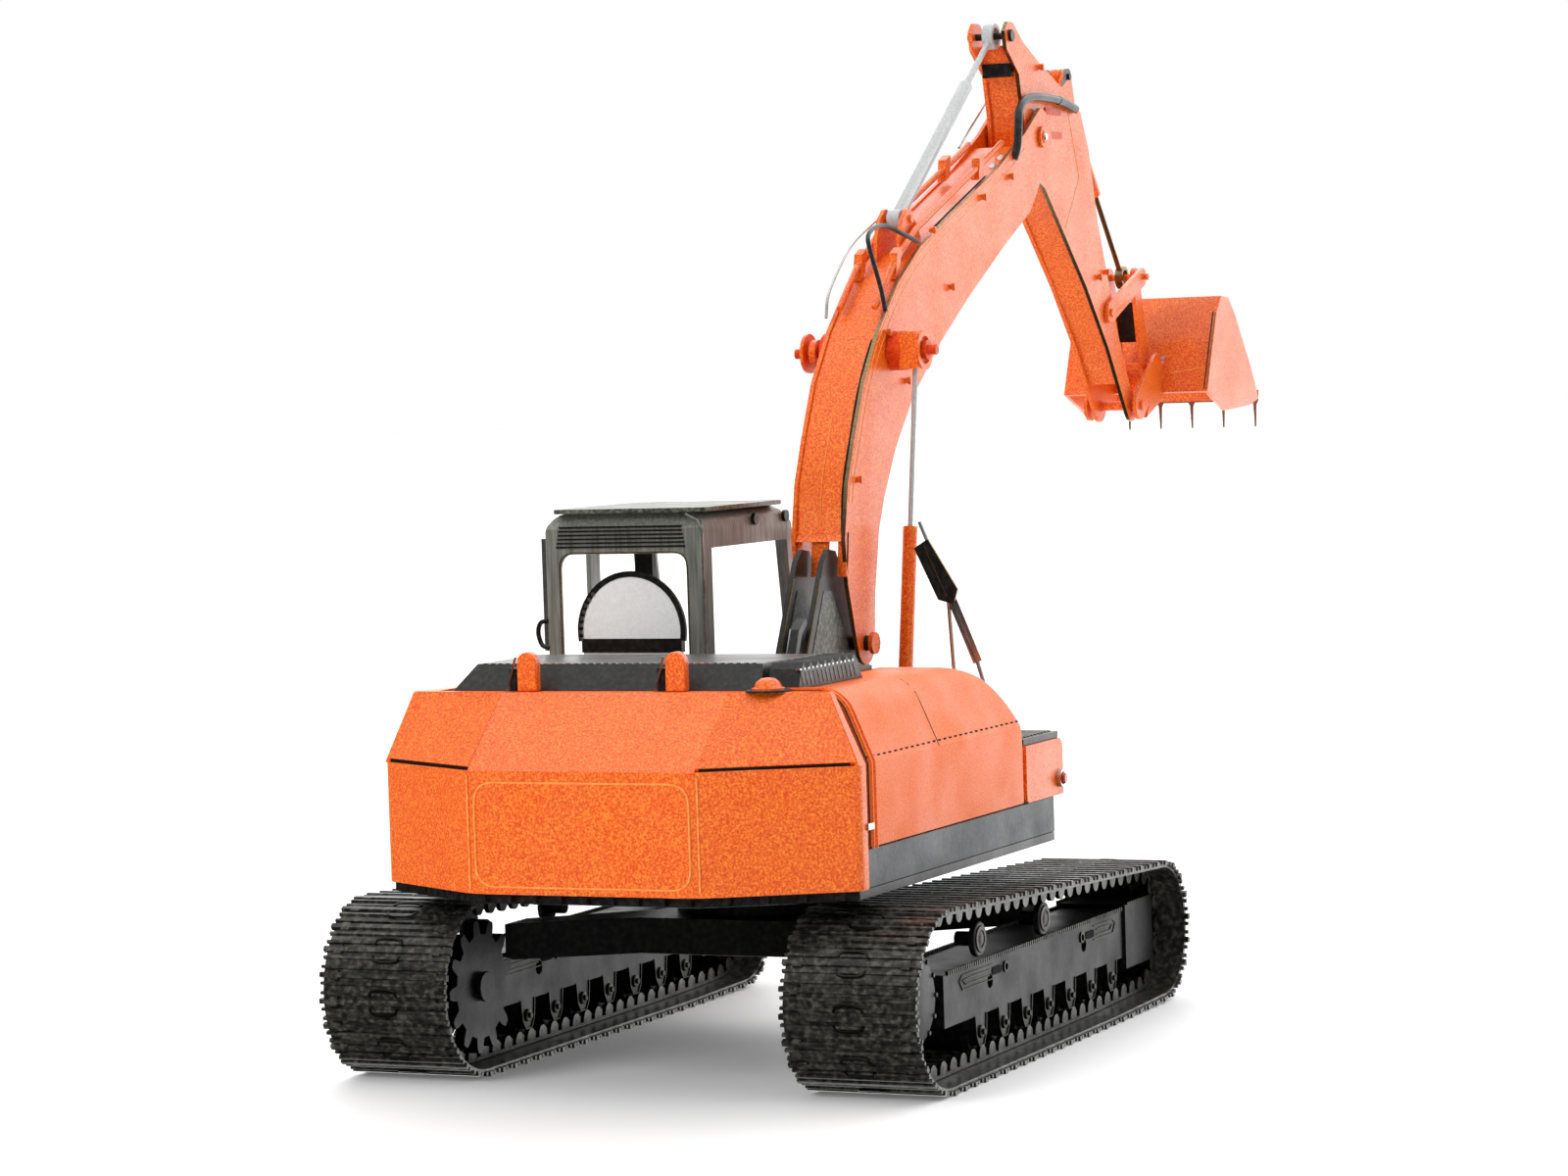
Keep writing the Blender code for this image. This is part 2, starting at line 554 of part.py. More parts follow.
def side_plates(name, outline, half, holes, parent):
    for side, s in (("right", -1), ("left", 1)):
        span = sorted((BOOM_X + s * half, BOOM_X + s * (half - SHEET)))
        put(plate(f"{name}_side_{side}", outline, *span, holes=holes), parent, ORANGE)


def boom(base):
    outline = BOOM_REAR[::-1] + arc(BOOM_FOOT, 1.45, -10, -170, 7) + BOOM_FRONT + arc(ARM_PIVOT, 2.15, 205, 90, 8)
    holes = [circle(BOOM_FOOT, FOOT_PIN + 0.04), circle(BOOM_CYL_TOP, CYL_PIN + 0.02),
             circle(ARM_PIVOT, ARM_PIN + 0.02)]
    side_plates("boom", outline, BOOM_HALF, holes, base)
    put(boom_box(), base, ORANGE)
    put(pin("boom_cylinder_pin", BOOM_CYL_TOP, 5.2, CYL_PIN, [(1.98, 2.95, 1.35), (4.25, 4.6, 0.7)]), base, STEEL)
    put(pin("arm_pin", ARM_PIVOT, 2.3, ARM_PIN, [(1.98, 2.2, 0.8)]), base, STEEL)
    for side, s in (("right", -1), ("left", 1)):
        put(boom_pipe(side, s), base, ORANGE)


# ---------------------------------------------------------------- cylinders

def cylinder(name, base, end, x, sizes, house_joint, slide_joint, look):
    """A barrel with an eye round the pin at its base, and a rod whose eye is loose on the pin at its end."""
    dy, dz = end[0] - base[0], end[1] - base[1]
    run = hypot(dy, dz)
    way = (0, dy / run, dz / run)
    eye, pin_r, width = sizes["eye"]
    start = eye * 0.8
    length, bore, radius = sizes["length"] - start, sizes["bore"], sizes["radius"]
    tube = [(0, 0), (0, radius), (length, radius), (length, bore), (0.5, bore), (0.5, 0)]
    foot = Vector((x, *base))
    barrel = turned(name[0], tube, foot + Vector(way) * start, way, 12)
    eye_ring = solid("eye", circle(base, eye), x - width / 2, x + width / 2, holes=[circle(base, pin_r)])
    put(combined(barrel, [eye_ring]), house_joint, look)
    rod_start = sizes["rod_start"]
    rod_eye, loose, rod_width = sizes["rod_eye"]
    shaft = rod_profile(run - rod_start - (rod_eye + loose) / 2, sizes["rod"])
    rod = turned(name[1], shaft, foot + Vector(way) * rod_start, way, 10)
    end_ring = solid("rod_eye", circle(end, rod_eye, 14), x - rod_width / 2, x + rod_width / 2,
                     holes=[circle(end, loose, 14)])
    put(combined(rod, [end_ring]), slide_joint, STEEL)


def cylinder_joints(name, base, x, parent):
    """The empty that a cylinder turns on, and the one its rod slides with."""
    tilt = empty(f"{name}_tilt", parent, (x, *base))
    return tilt, empty(f"{name}_slide", tilt, (x, *base))


# ---------------------------------------------------------------- arm

def arm_box():
    """Folded sheet between the arm's side plates, with the lugs and pin of the bucket cylinder."""
    outline = [(-36.5, 64.3), (-38.6, 66.0), (-41.2, 65.0), (-45.7, 63.3), (-49.4, 61.6), (-50.9, 59.0),
               (-52.4, 53.7), (-55.0, 47.9), (-57.9, 42.0), (-56.9, 41.3), (-54.5, 44.3), (-49.6, 49.1),
               (-41.6, 56.3), (-39.2, 57.2), (-38.1, 59.1), (-37.9, 61.4), (-37.2, 63.8)]
    lug = [(-46.3, 62.0), (-46.8, 63.6), (-47.7, 65.0)] + arc(BUCKET_CYL_BASE, 0.62, 40, 190, 5)
    lug += [(-49.9, 62.2), (-49.0, 60.8)]
    reach = ARM_HALF - SHEET
    holes = [circle(ARM_PIVOT, ARM_PIN + 0.04), circle(ROCKER_PIVOT, 0.37, 10)]
    core = solid("arm_box", outline, BOOM_X - reach, BOOM_X + reach, holes=holes)
    return combined(core, [solid("right_ear", lug, BOOM_X - 0.95, BOOM_X - 0.65),
                           solid("left_ear", lug, BOOM_X + 0.65, BOOM_X + 0.95),
                           pin("ear_pin", BUCKET_CYL_BASE, 1.1, 0.26)])


def arm(base):
    outline = [(-34.6, 65.9), (-34.3, 67.2), (-35.0, 67.9), (-36.0, 67.9), (-38.1, 66.5), (-41.0, 65.3),
               (-45.8, 63.6), (-49.6, 61.9), (-51.2, 59.1), (-52.7, 53.7), (-56.5, 45.3), (-58.9, 41.2)]
    outline += arc(BUCKET_PIVOT, 1.25, 170, 330, 6)
    outline += [(-54.4, 44.0), (-49.8, 48.8), (-41.6, 56.0), (-39.0, 56.9), (-37.8, 59.0), (-37.6, 61.4),
                (-36.9, 64.2)]
    holes = [circle(BUCKET_PIVOT, 0.42, 10), circle(ROCKER_PIVOT, 0.37, 10), circle(ARM_PIVOT, ARM_PIN + 0.04),
             circle(ARM_CYL_TOP, 0.27, 10)]
    side_plates("arm", outline, ARM_HALF, holes, base)
    put(arm_box(), base, ORANGE)
    put(pin("arm_cylinder_pin", ARM_CYL_TOP, 1.7, 0.25, [(1.45, 1.7, 0.45)]), base, STEEL)


# ---------------------------------------------------------------- linkage and bucket

def pair(name, outline, middle, holes=()):
    """The same plate on both sides of the middle plane, as two solids."""
    inner, outer = middle - SHEET / 2, middle + SHEET / 2
    return [solid(name, outline, BOOM_X - outer, BOOM_X - inner, holes=holes),
            solid(name, outline, BOOM_X + inner, BOOM_X + outer, holes=holes)]


def rocker():
    bars = pair("rocker", link_outline(ROCKER_PIVOT, ROCKER_TOP, 0.8, 0.7), 1.65)
    return combined(bars[0], [bars[1], pin("upper_pin", ROCKER_TOP, 2.2, 0.25),
                              pin("lower_pin", ROCKER_PIVOT, 2.0, 0.33)])


def push_link():
    """Two bars and a web; the lower holes are loose on the bucket's pin."""
    holes = [circle(ROCKER_TOP, 0.29, 10), circle(BUCKET_LINK, 0.6)]
    bars = pair("push_link", link_outline(ROCKER_TOP, BUCKET_LINK, 0.75, 0.88), 1.05, holes)
    web = [(-62.6, 47.65), (-62.89, 47.72), (-63.63, 44.6), (-63.34, 44.53)]
    return combined(bars[0], [bars[1], solid("web", web, BOOM_X - 1.0, BOOM_X + 1.0)])


def thickened(line, thickness):
    """A polyline thickened to one side, as an outline."""
    other = []
    for i, (y, z) in enumerate(line):
        a, b = line[max(0, i - 1)], line[min(len(line) - 1, i + 1)]
        run = hypot(b[0] - a[0], b[1] - a[1])
        other.append((y + (b[1] - a[1]) / run * thickness, z - (b[0] - a[0]) / run * thickness))
    return line + other[::-1]


def bucket():
    """One sheet for back, top and floor, two side plates, and ear plates with both pins."""
    sheet = [(-64.4, 40.4), (-65.8, 43.6), (-67.2, 46.6), (-68.3, 47.7), (-69.8, 47.6), (-71.4, 46.2),
             (-75.2, 41.8), (-76.7, 39.6)]
    side = sheet + [(-74.6, 39.2), (-68.4, 38.9)]
    tie = [(-60.6, 38.6), (-65.0, 40.2), (-66.1, 43.4), (-64.9, 42.9), (-62.0, 40.8)]
    lo, hi = BOOM_X - BUCKET_HALF, BOOM_X + BUCKET_HALF
    others = [solid("right_wall", side, lo, lo + SHEET), solid("left_wall", side, hi - SHEET, hi)]
    others += pair("ear", link_outline(BUCKET_PIVOT, BUCKET_LINK, 1.15, 1.0, 6), 2.025)
    others += pair("tie", tie, 2.025)
    others += [pin("link_pin", BUCKET_LINK, 2.3, 0.3), pin("pivot_pin", BUCKET_PIVOT, 2.4, 0.38)]
    return combined(solid("bucket", thickened(sheet, SHEET), lo, hi), others)


def bucket_teeth():
    comb = [(BOOM_X + BUCKET_HALF, 40.4), (BOOM_X - BUCKET_HALF, 40.4)]
    for k in range(5):
        x = BOOM_X - BUCKET_HALF + 0.35 + k * 2.7
        comb += [(x - 0.35, 39.4), (x - 0.12, 37.4), (x + 0.12, 37.4), (x + 0.35, 39.4)]
    return plate("bucket_teeth", comb, -77.35, -77.0, "y")


# ---------------------------------------------------------------- the machine

for track_side, side_sign in (("right", -1), ("left", 1)):
    track(track_side, side_sign)
centre_frame()

swing = empty("house_swing", ROOT, SWING)
house(swing)
cab(swing)

lift = empty("boom_lift", swing, (BOOM_X, *BOOM_FOOT))
boom(lift)
BOOM_CYL = {"length": 11.6, "radius": 0.5, "bore": 0.26, "eye": (0.75, 0.36, 0.8),
            "rod_start": 8.0, "rod": 0.18, "rod_eye": (0.95, 0.62, 0.5)}
for boom_side, side_sign in (("right", -1), ("left", 1)):
    cylinder_x = BOOM_X + side_sign * CYLINDER_OUT
    joints = cylinder_joints(f"boom_cylinder_{boom_side}", BOOM_CYL_BASE, cylinder_x, swing)
    cylinder((f"boom_barrel_{boom_side}", f"boom_rod_{boom_side}"), BOOM_CYL_BASE, BOOM_CYL_TOP, cylinder_x, BOOM_CYL,
             *joints, ORANGE)

ARM_CYL = {"length": 16.8, "radius": 0.48, "bore": 0.3, "eye": (0.7, 0.34, 0.9),
           "rod_start": 11.6, "rod": 0.22, "rod_eye": (0.95, 0.64, 0.8)}
joints = cylinder_joints("arm_cylinder", ARM_CYL_BASE, BOOM_X, lift)
cylinder(("arm_barrel", "arm_rod"), ARM_CYL_BASE, ARM_CYL_TOP, BOOM_X, ARM_CYL, *joints, STEEL)

crowd = empty("arm_crowd", lift, (BOOM_X, *ARM_PIVOT))
arm(crowd)
BUCKET_CYL = {"length": 11.5, "radius": 0.45, "bore": 0.28, "eye": (0.62, 0.29, 0.8),
              "rod_start": 7.5, "rod": 0.2, "rod_eye": (0.9, 0.6, 0.6)}
joints = cylinder_joints("bucket_cylinder", BUCKET_CYL_BASE, BOOM_X, crowd)
cylinder(("bucket_barrel", "bucket_rod"), BUCKET_CYL_BASE, ROCKER_TOP, BOOM_X, BUCKET_CYL, *joints, STEEL)

rocker_swing = empty("rocker_swing", crowd, (BOOM_X, *ROCKER_PIVOT))
put(rocker(), rocker_swing, ORANGE)
put(push_link(), empty("push_link_swing", rocker_swing, (BOOM_X, *ROCKER_TOP)), ORANGE)
curl = empty("bucket_curl", crowd, (BOOM_X, *BUCKET_PIVOT))
put(bucket(), curl, ORANGE)
put(bucket_teeth(), curl, STEEL)
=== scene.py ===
"""Looks of the folded-sheet excavator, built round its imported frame.

Lengths are millimetres in the CAD's own station frame: -Y is forwards, +X is the cab side, and the ground
is z = 0.
"""
import json
from math import atan2, cos, hypot, pi, radians, sin, sqrt

import bmesh
import bpy
from mathutils import Matrix, Vector
from mathutils.geometry import tessellate_polygon


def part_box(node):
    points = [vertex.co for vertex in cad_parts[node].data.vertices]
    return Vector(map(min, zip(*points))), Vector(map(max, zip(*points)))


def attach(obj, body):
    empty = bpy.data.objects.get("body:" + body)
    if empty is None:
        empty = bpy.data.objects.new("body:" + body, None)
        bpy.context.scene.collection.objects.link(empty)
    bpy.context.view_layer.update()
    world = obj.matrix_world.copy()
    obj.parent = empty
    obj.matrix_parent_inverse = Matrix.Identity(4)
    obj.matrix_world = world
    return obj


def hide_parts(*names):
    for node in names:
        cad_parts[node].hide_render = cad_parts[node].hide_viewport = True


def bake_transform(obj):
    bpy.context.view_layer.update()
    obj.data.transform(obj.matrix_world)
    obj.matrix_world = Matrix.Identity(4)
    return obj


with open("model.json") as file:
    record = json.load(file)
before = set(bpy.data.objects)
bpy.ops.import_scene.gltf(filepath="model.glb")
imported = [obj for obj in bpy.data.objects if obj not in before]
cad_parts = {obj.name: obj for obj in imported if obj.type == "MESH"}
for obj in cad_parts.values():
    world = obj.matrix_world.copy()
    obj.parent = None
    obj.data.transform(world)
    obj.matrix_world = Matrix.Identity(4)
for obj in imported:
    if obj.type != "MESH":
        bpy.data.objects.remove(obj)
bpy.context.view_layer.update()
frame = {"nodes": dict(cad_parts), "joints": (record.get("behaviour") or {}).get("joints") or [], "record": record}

MM = 0.001
SHEET = 0.3
SMOOTH_ANGLE = 35                   # degrees; sharper edges stay sharp
SWING_STATION = 5.2                 # station of the slewing axis
JOINTS = {j["name"]: j for j in frame["joints"]}
STATION = JOINTS["house_swing"]["pos_m"][1] / MM - SWING_STATION
BODY_OF = {n: b for b, nodes in frame["record"]["behaviour"]["bodies"].items() for n in nodes}


def pivot(joint):
    """(y, z) of a hinge, in stations."""
    _, y, z = JOINTS[joint]["pos_m"]
    return y / MM - STATION, z / MM


def node_box(node):
    """A node's two corners, in stations."""
    shift = Vector((0, STATION, 0))
    return [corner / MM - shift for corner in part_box(node)]


# ---------------------------------------------------------------- geometry

def area(loop):
    """Signed area of a closed outline."""
    return sum(a[0] * b[1] - b[0] * a[1] for a, b in zip(loop, loop[1:] + loop[:1])) / 2


def arc(centre, r, start, end, n):
    """Points on an arc, angles in degrees."""
    return [(centre[0] + r * cos(radians(start + (end - start) * i / n)),
             centre[1] + r * sin(radians(start + (end - start) * i / n))) for i in range(n + 1)]


def circle(centre, r, n=20):
    return arc(centre, r, 0, 360, n)[:-1]


def rounded(outline, r, n=5):
    """Outline with its corners rounded; r is one radius or one for each corner."""
    out = []
    count = len(outline)
    radii = r if isinstance(r, (list, tuple)) else [r] * count
    for i, p in enumerate(outline):
        p, a, b = Vector(p), Vector(outline[i - 1]), Vector(outline[(i + 1) % count])
        u, w = (a - p), (b - p)
        reach = min(radii[i], u.length * 0.48, w.length * 0.48)
        if reach <= 0:
            out.append(tuple(p))
            continue
        start, end = p + u.normalized() * reach, p + w.normalized() * reach
        for k in range(n + 1):
            t = k / n
            out.append(tuple(start * (1 - t) ** 2 + p * 2 * t * (1 - t) + end * t ** 2))
    return out


def smooth_line(points, per=6):
    """Catmull-Rom curve through 3-D points."""
    pts = [Vector(p) for p in points]
    pts = [pts[0] * 2 - pts[1]] + pts + [pts[-1] * 2 - pts[-2]]
    out = []
    for a, b, c, d in zip(pts, pts[1:], pts[2:], pts[3:]):
        for k in range(per):
            t = k / per
            out.append(0.5 * (2 * b + (c - a) * t + (2 * a - 5 * b + 4 * c - d) * t ** 2
                              + (3 * b - a - 3 * c + d) * t ** 3))
    return out + [pts[-2]]


def along(points, step):
    """Points every step along an open 2-D polyline, with the unit tangent at each."""
    out, left = [], 0.0
    for a, b in zip(points, points[1:]):
        d = hypot(b[0] - a[0], b[1] - a[1])
        u = ((b[0] - a[0]) / d, (b[1] - a[1]) / d)
        while left <= d:
            out.append(((a[0] + u[0] * left, a[1] + u[1] * left), u))
            left += step
        left -= d
    return out


def offset_line(points, d):
    """An open 2-D polyline moved d to its right."""
    out = []
    for i, p in enumerate(points):
        a, b = points[max(0, i - 1)], points[min(len(points) - 1, i + 1)]
        ln = hypot(b[0] - a[0], b[1] - a[1])
        out.append((p[0] + (b[1] - a[1]) / ln * d, p[1] - (b[0] - a[0]) / ln * d))
    return out


class Piece:
    """Solids in millimetres that become one object."""

    def __init__(self):
        self.verts, self.faces, self.mats = [], [], []

    def add(self, verts, faces, mats=0):
        start = len(self.verts)
        self.verts += [tuple(v) for v in verts]
        self.faces += [tuple(i + start for i in f) for f in faces]
        self.mats += mats if isinstance(mats, list) else [mats] * len(faces)

    def prism(self, outline, lo, hi, axis="x", mat=0, edge=None, holes=()):
        """An outline with holes, extruded from lo to hi; its sides can have their own material."""
        place = {"x": lambda p, t: (t, p[0], p[1]), "y": lambda p, t: (p[0], t, p[1]),
                 "z": lambda p, t: (p[0], p[1], t)}[axis]
        loops = [list(outline)] + [list(h) for h in holes]
        loops = [loop if (area(loop) > 0) == (k == 0) else loop[::-1] for k, loop in enumerate(loops)]
        flat = [p for loop in loops for p in loop]
        n = len(flat)
        caps = tessellate_polygon([[Vector((p[0], p[1], 0)) for p in loop] for loop in loops])
        faces = [tuple(c) for c in caps] + [tuple(i + n for i in c[::-1]) for c in caps]
        mats = [mat] * len(faces)
        start = 0
        for loop in loops:
            m = len(loop)
            ends = [(start + i, start + (i + 1) % m) for i in range(m)]
            faces += [(a, b, b + n, a + n) for a, b in ends]
            start += m
        mats += [mat if edge is None else edge] * n
        self.add([place(p, lo) for p in flat] + [place(p, hi) for p in flat], faces, mats)

    def box(self, lo, hi, mat=0):
        outline = [(lo[1], lo[2]), (hi[1], lo[2]), (hi[1], hi[2]), (lo[1], hi[2])]
        self.prism(outline, lo[0], hi[0], mat=mat)

    def rings(self, rings, mat=0):
        """Skin over rings of equal count, capped at both ends."""
        n = len(rings[0])
        last = (len(rings) - 1) * n
        faces = []
        for a in range(0, last, n):
            faces += [(a + k, a + (k + 1) % n, a + n + (k + 1) % n, a + n + k) for k in range(n)]
        faces += [tuple(range(n))[::-1], tuple(range(last, last + n))]
        self.add([p for ring in rings for p in ring], faces, mat)

    def sweep(self, points, section, mat=0, up=None):
        """A closed section (across, out) swept along a line; up is out, for the line or for each point."""
        pts = [Vector(p) for p in points]
        ups = up if isinstance(up, list) else [up] * len(pts)
        guide, rings = None, []
        for i, p in enumerate(pts):
            t = (pts[min(i + 1, len(pts) - 1)] - pts[max(i - 1, 0)]).normalized()
            if ups[i] is not None:
                guide = Vector(ups[i])
            elif guide is None:
                guide = t.orthogonal()
            guide = (guide - t * guide.dot(t)).normalized()
            side = t.cross(guide)
            rings.append([tuple(p + side * a + guide * b) for a, b in section])
        self.rings(rings, mat)

    def tube(self, points, r, n=10, mat=0):
        """A round rod along a line."""
        self.sweep(points, circle((0, 0), r, n), mat)

    def line(self, points, up, w=0.12, h=0.05, mat=0):
        """A low raised line, such as an etched edge, along points on a surface."""
        self.sweep(points, [(-w / 2, -0.03), (w / 2, -0.03), (w / 4, h), (-w / 4, h)], mat, up)

    def turned(self, profile, start, way, n=24, mat=0):
        """A turned solid; the profile is (distance along the axis, radius)."""
        start, way = Vector(start), Vector(way).normalized()
        side = way.orthogonal().normalized()
        up = way.cross(side)
        tiny = 0.001
        rings = [[tuple(start + way * d + side * a + up * b) for a, b in circle((0, 0), max(r, tiny), n)]
                 for d, r in profile]
        self.rings(rings, mat)

    def finish(self, name, body, mats, replaces=(), bevel=0.0, smooth=SMOOTH_ANGLE):
        """Makes the solids one object that rides on a body, and returns it."""
        mesh = bpy.data.meshes.new(name)
        mesh.from_pydata([(x * MM, (y + STATION) * MM, z * MM) for x, y, z in self.verts], [], self.faces)
        for mat in mats:
            mesh.materials.append(mat)
        mesh.polygons.foreach_set("material_index", self.mats)
        return settle(name, mesh, body, replaces, bevel, smooth)


def settle(name, mesh, body, replaces, bevel, smooth):
    """Cleans a mesh, shades it and puts it on its body as a named piece."""
    bm = bmesh.new()
    bm.from_mesh(mesh)
    bmesh.ops.remove_doubles(bm, verts=bm.verts, dist=1e-7)
    bmesh.ops.dissolve_degenerate(bm, dist=1e-7, edges=bm.edges)
    bmesh.ops.recalc_face_normals(bm, faces=bm.faces)
    bm.to_mesh(mesh)
    bm.free()
    mesh.shade_smooth()
    mesh.set_sharp_from_angle(angle=radians(smooth))
    obj = bpy.data.objects.new(name, mesh)
    bpy.context.scene.collection.objects.link(obj)
    if bevel:
        mod = obj.modifiers.new("edges", "BEVEL")
        mod.width, mod.segments, mod.limit_method, mod.angle_limit = bevel * MM, 2, "ANGLE", radians(38)
        mod.harden_normals = True
    if body:
        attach(obj, body)
    if replaces:
        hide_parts(*replaces)
    return obj


def refined(node, mats, axis=None, bevel=0.04, accent=None):
    """The CAD node's own solid with broken edges.

    Along an axis its thin sides take the second material. Faces whose middle passes accent() take the last
    one.
    """
    mesh = frame["nodes"][node].data.copy()
    mesh.materials.clear()
    for mat in mats:
        mesh.materials.append(mat)
    bm = bmesh.new()
    bm.from_mesh(mesh)
    bmesh.ops.remove_doubles(bm, verts=bm.verts, dist=1e-7)
    bmesh.ops.dissolve_limit(bm, angle_limit=radians(0.5), verts=bm.verts, edges=bm.edges)
    for face in bm.faces:
        thin = axis is not None and abs(face.normal["xyz".index(axis)]) < 0.5
        middle = face.calc_center_median() / MM - Vector((0, STATION, 0))
        face.material_index = len(mats) - 1 if accent and accent(middle) else int(thin)
    bm.to_mesh(mesh)
    bm.free()
    settle(f"{node}_fine", mesh, BODY_OF[node], [node], bevel, SMOOTH_ANGLE)


# ---------------------------------------------------------------- materials

def graph(name, roughness, metallic=0.0, coat=0.0, coat_roughness=0.1, specular=0.5):
    """A new material with its node tree and its shader."""
    mat = bpy.data.materials.new(name)
    mat.use_nodes = True
    shader = mat.node_tree.nodes["Principled BSDF"]
    shader.inputs["Roughness"].default_value = roughness
    shader.inputs["Metallic"].default_value = metallic
    shader.inputs["Coat Weight"].default_value = coat
    shader.inputs["Coat Roughness"].default_value = coat_roughness
    shader.inputs["Specular IOR Level"].default_value = specular
    return mat, mat.node_tree, shader


def grain(tree, scale, detail=3.0, stretch=(1, 1, 1)):
    """A noise over the object's own coordinates; scale is in features per metre."""
    coords = tree.nodes.new("ShaderNodeTexCoord")
    mapping = tree.nodes.new("ShaderNodeMapping")
    mapping.inputs["Scale"].default_value = stretch
    noise = tree.nodes.new("ShaderNodeTexNoise")
    noise.inputs["Scale"].default_value = scale
    noise.inputs["Detail"].default_value = detail
    tree.links.new(coords.outputs["Object"], mapping.inputs["Vector"])
    tree.links.new(mapping.outputs["Vector"], noise.inputs["Vector"])
    return noise.outputs["Fac"]


def ramp(tree, value, stops):
    """A colour for each value, from (place, colour) stops."""
    node = tree.nodes.new("ShaderNodeValToRGB")
    while len(node.color_ramp.elements) < len(stops):
        node.color_ramp.elements.new(0.5)
    for element, (place, color) in zip(node.color_ramp.elements, stops):
        element.position = place
        element.color = (*color, 1)
    tree.links.new(value, node.inputs["Fac"])
    return node.outputs["Color"]


def spread(tree, value, lo, hi, out):
    """Sends a noise to an input, stretched to run from lo to hi."""
    node = tree.nodes.new("ShaderNodeMapRange")
    node.inputs["From Min"].default_value, node.inputs["From Max"].default_value = 0.3, 0.7
    node.inputs["To Min"].default_value, node.inputs["To Max"].default_value = lo, hi
    tree.links.new(value, node.inputs["Value"])
    tree.links.new(node.outputs["Result"], out)


def bump(tree, shader, value, depth):
    node = tree.nodes.new("ShaderNodeBump")
    node.inputs["Strength"].default_value = 1.0
    node.inputs["Distance"].default_value = depth * MM
    tree.links.new(value, node.inputs["Height"])
    tree.links.new(node.outputs["Normal"], shader.inputs["Normal"])


def paint(name, deep, middle, light, roughness,
          metallic=0.0, coat=0.0, speckle=4200, depth=0.02, specular=0.5):
    """Sprayed sheet: a fine speckle of three tones, with a faint larger cloud in the gloss."""
    mat, tree, shader = graph(name, roughness, metallic, coat, 0.18, specular)
    fine = grain(tree, speckle, 2.0)
    colour = ramp(tree, fine, [(0.34, deep), (0.5, middle), (0.68, light)])
    tree.links.new(colour, shader.inputs["Base Color"])
    spread(tree, grain(tree, 350, 3.0), roughness - 0.06, roughness + 0.1, shader.inputs["Roughness"])
    bump(tree, shader, fine, depth)
    return mat


def brushed(name, dark, light, roughness, metallic=1.0, stretch=(1, 1, 14), depth=0.006):
    """Bare rolled sheet with a drawn grain; on the cab the same streaks are painted sheen on black plate."""
    mat, tree, shader = graph(name, roughness, metallic)
    lines = grain(tree, 2500, 4.0, stretch)
    tree.links.new(ramp(tree, lines, [(0.3, dark), (0.7, light)]), shader.inputs["Base Color"])
    spread(tree, grain(tree, 900, 3.0), roughness - 0.05, roughness + 0.12, shader.inputs["Roughness"])
    bump(tree, shader, lines, depth)
    return mat


UPRIGHT = (2.2, 2.2, 0.12)          # draws the cab's painted streaks of sheen out upwards

ORANGE = paint("orange_paint", (0.74, 0.062, 0.002), (0.90, 0.130, 0.005), (1.0, 0.28, 0.025), 0.36,
               coat=0.25, speckle=7500, depth=0.010)
MATT = paint("orange_panel", (0.78, 0.10, 0.004), (0.88, 0.145, 0.008), (0.95, 0.21, 0.02), 0.42,
             speckle=8500, depth=0.004, specular=0.32)
ETCH = paint("orange_etch", (0.95, 0.25, 0.03), (1.0, 0.33, 0.06), (1.0, 0.42, 0.10), 0.34,
             coat=0.2, depth=0.004)
DEEP = paint("orange_deep", (0.62, 0.035, 0.002), (0.74, 0.055, 0.003), (0.84, 0.09, 0.006), 0.4,
             depth=0.006, specular=0.3)
BLACK = paint("black_plate", (0.004, 0.004, 0.004), (0.009, 0.009, 0.008), (0.022, 0.021, 0.017), 0.36,
              metallic=0.1, coat=0.1, speckle=3000, depth=0.008)
# Grey olive plate; the same tone also serves as painted sheen on the boom bracket's black cheeks.
OLIVE_AND_SHEEN = paint("olive_plate_and_sheen", (0.035, 0.038, 0.028), (0.09, 0.095, 0.072), (0.19, 0.2, 0.155), 0.42,
              metallic=0.1, coat=0.1, speckle=3600, depth=0.012)
GREY = paint("grey_skirt", (0.012, 0.015, 0.018), (0.02, 0.024, 0.028), (0.035, 0.04, 0.045), 0.42,
             metallic=0.1, coat=0.1, speckle=3600, depth=0.01)
TRACK = paint("track_steel", (0.010, 0.010, 0.009), (0.032, 0.0315, 0.027), (0.10, 0.097, 0.08), 0.34,
              metallic=0.2, coat=0.1, speckle=2600, depth=0.010)
FRAME = paint("track_frame_steel", (0.004, 0.004, 0.004), (0.007, 0.007, 0.007), (0.014, 0.014, 0.013), 0.4,
              speckle=3600, depth=0.006, specular=0.2)
TRACK_EDGE = brushed("track_edge", (0.02, 0.02, 0.017), (0.065, 0.062, 0.053), 0.38)
STEEL = brushed("bare_steel", (0.50, 0.51, 0.50), (0.78, 0.79, 0.78), 0.26)
# Seat: bare mirror-like steel, painted near white as a painted reflection of the white surroundings.
SEAT_REFLECTION = paint("seat_painted_reflection", (0.88, 0.88, 0.87), (0.92, 0.92, 0.91), (0.96, 0.96, 0.95), 0.3,
             coat=0.1, speckle=5000, depth=0.003)
BARREL = paint("dull_cylinder", (0.50, 0.51, 0.51), (0.56, 0.57, 0.57), (0.62, 0.63, 0.63), 0.45,
               metallic=0.2, speckle=5000, depth=0.002)
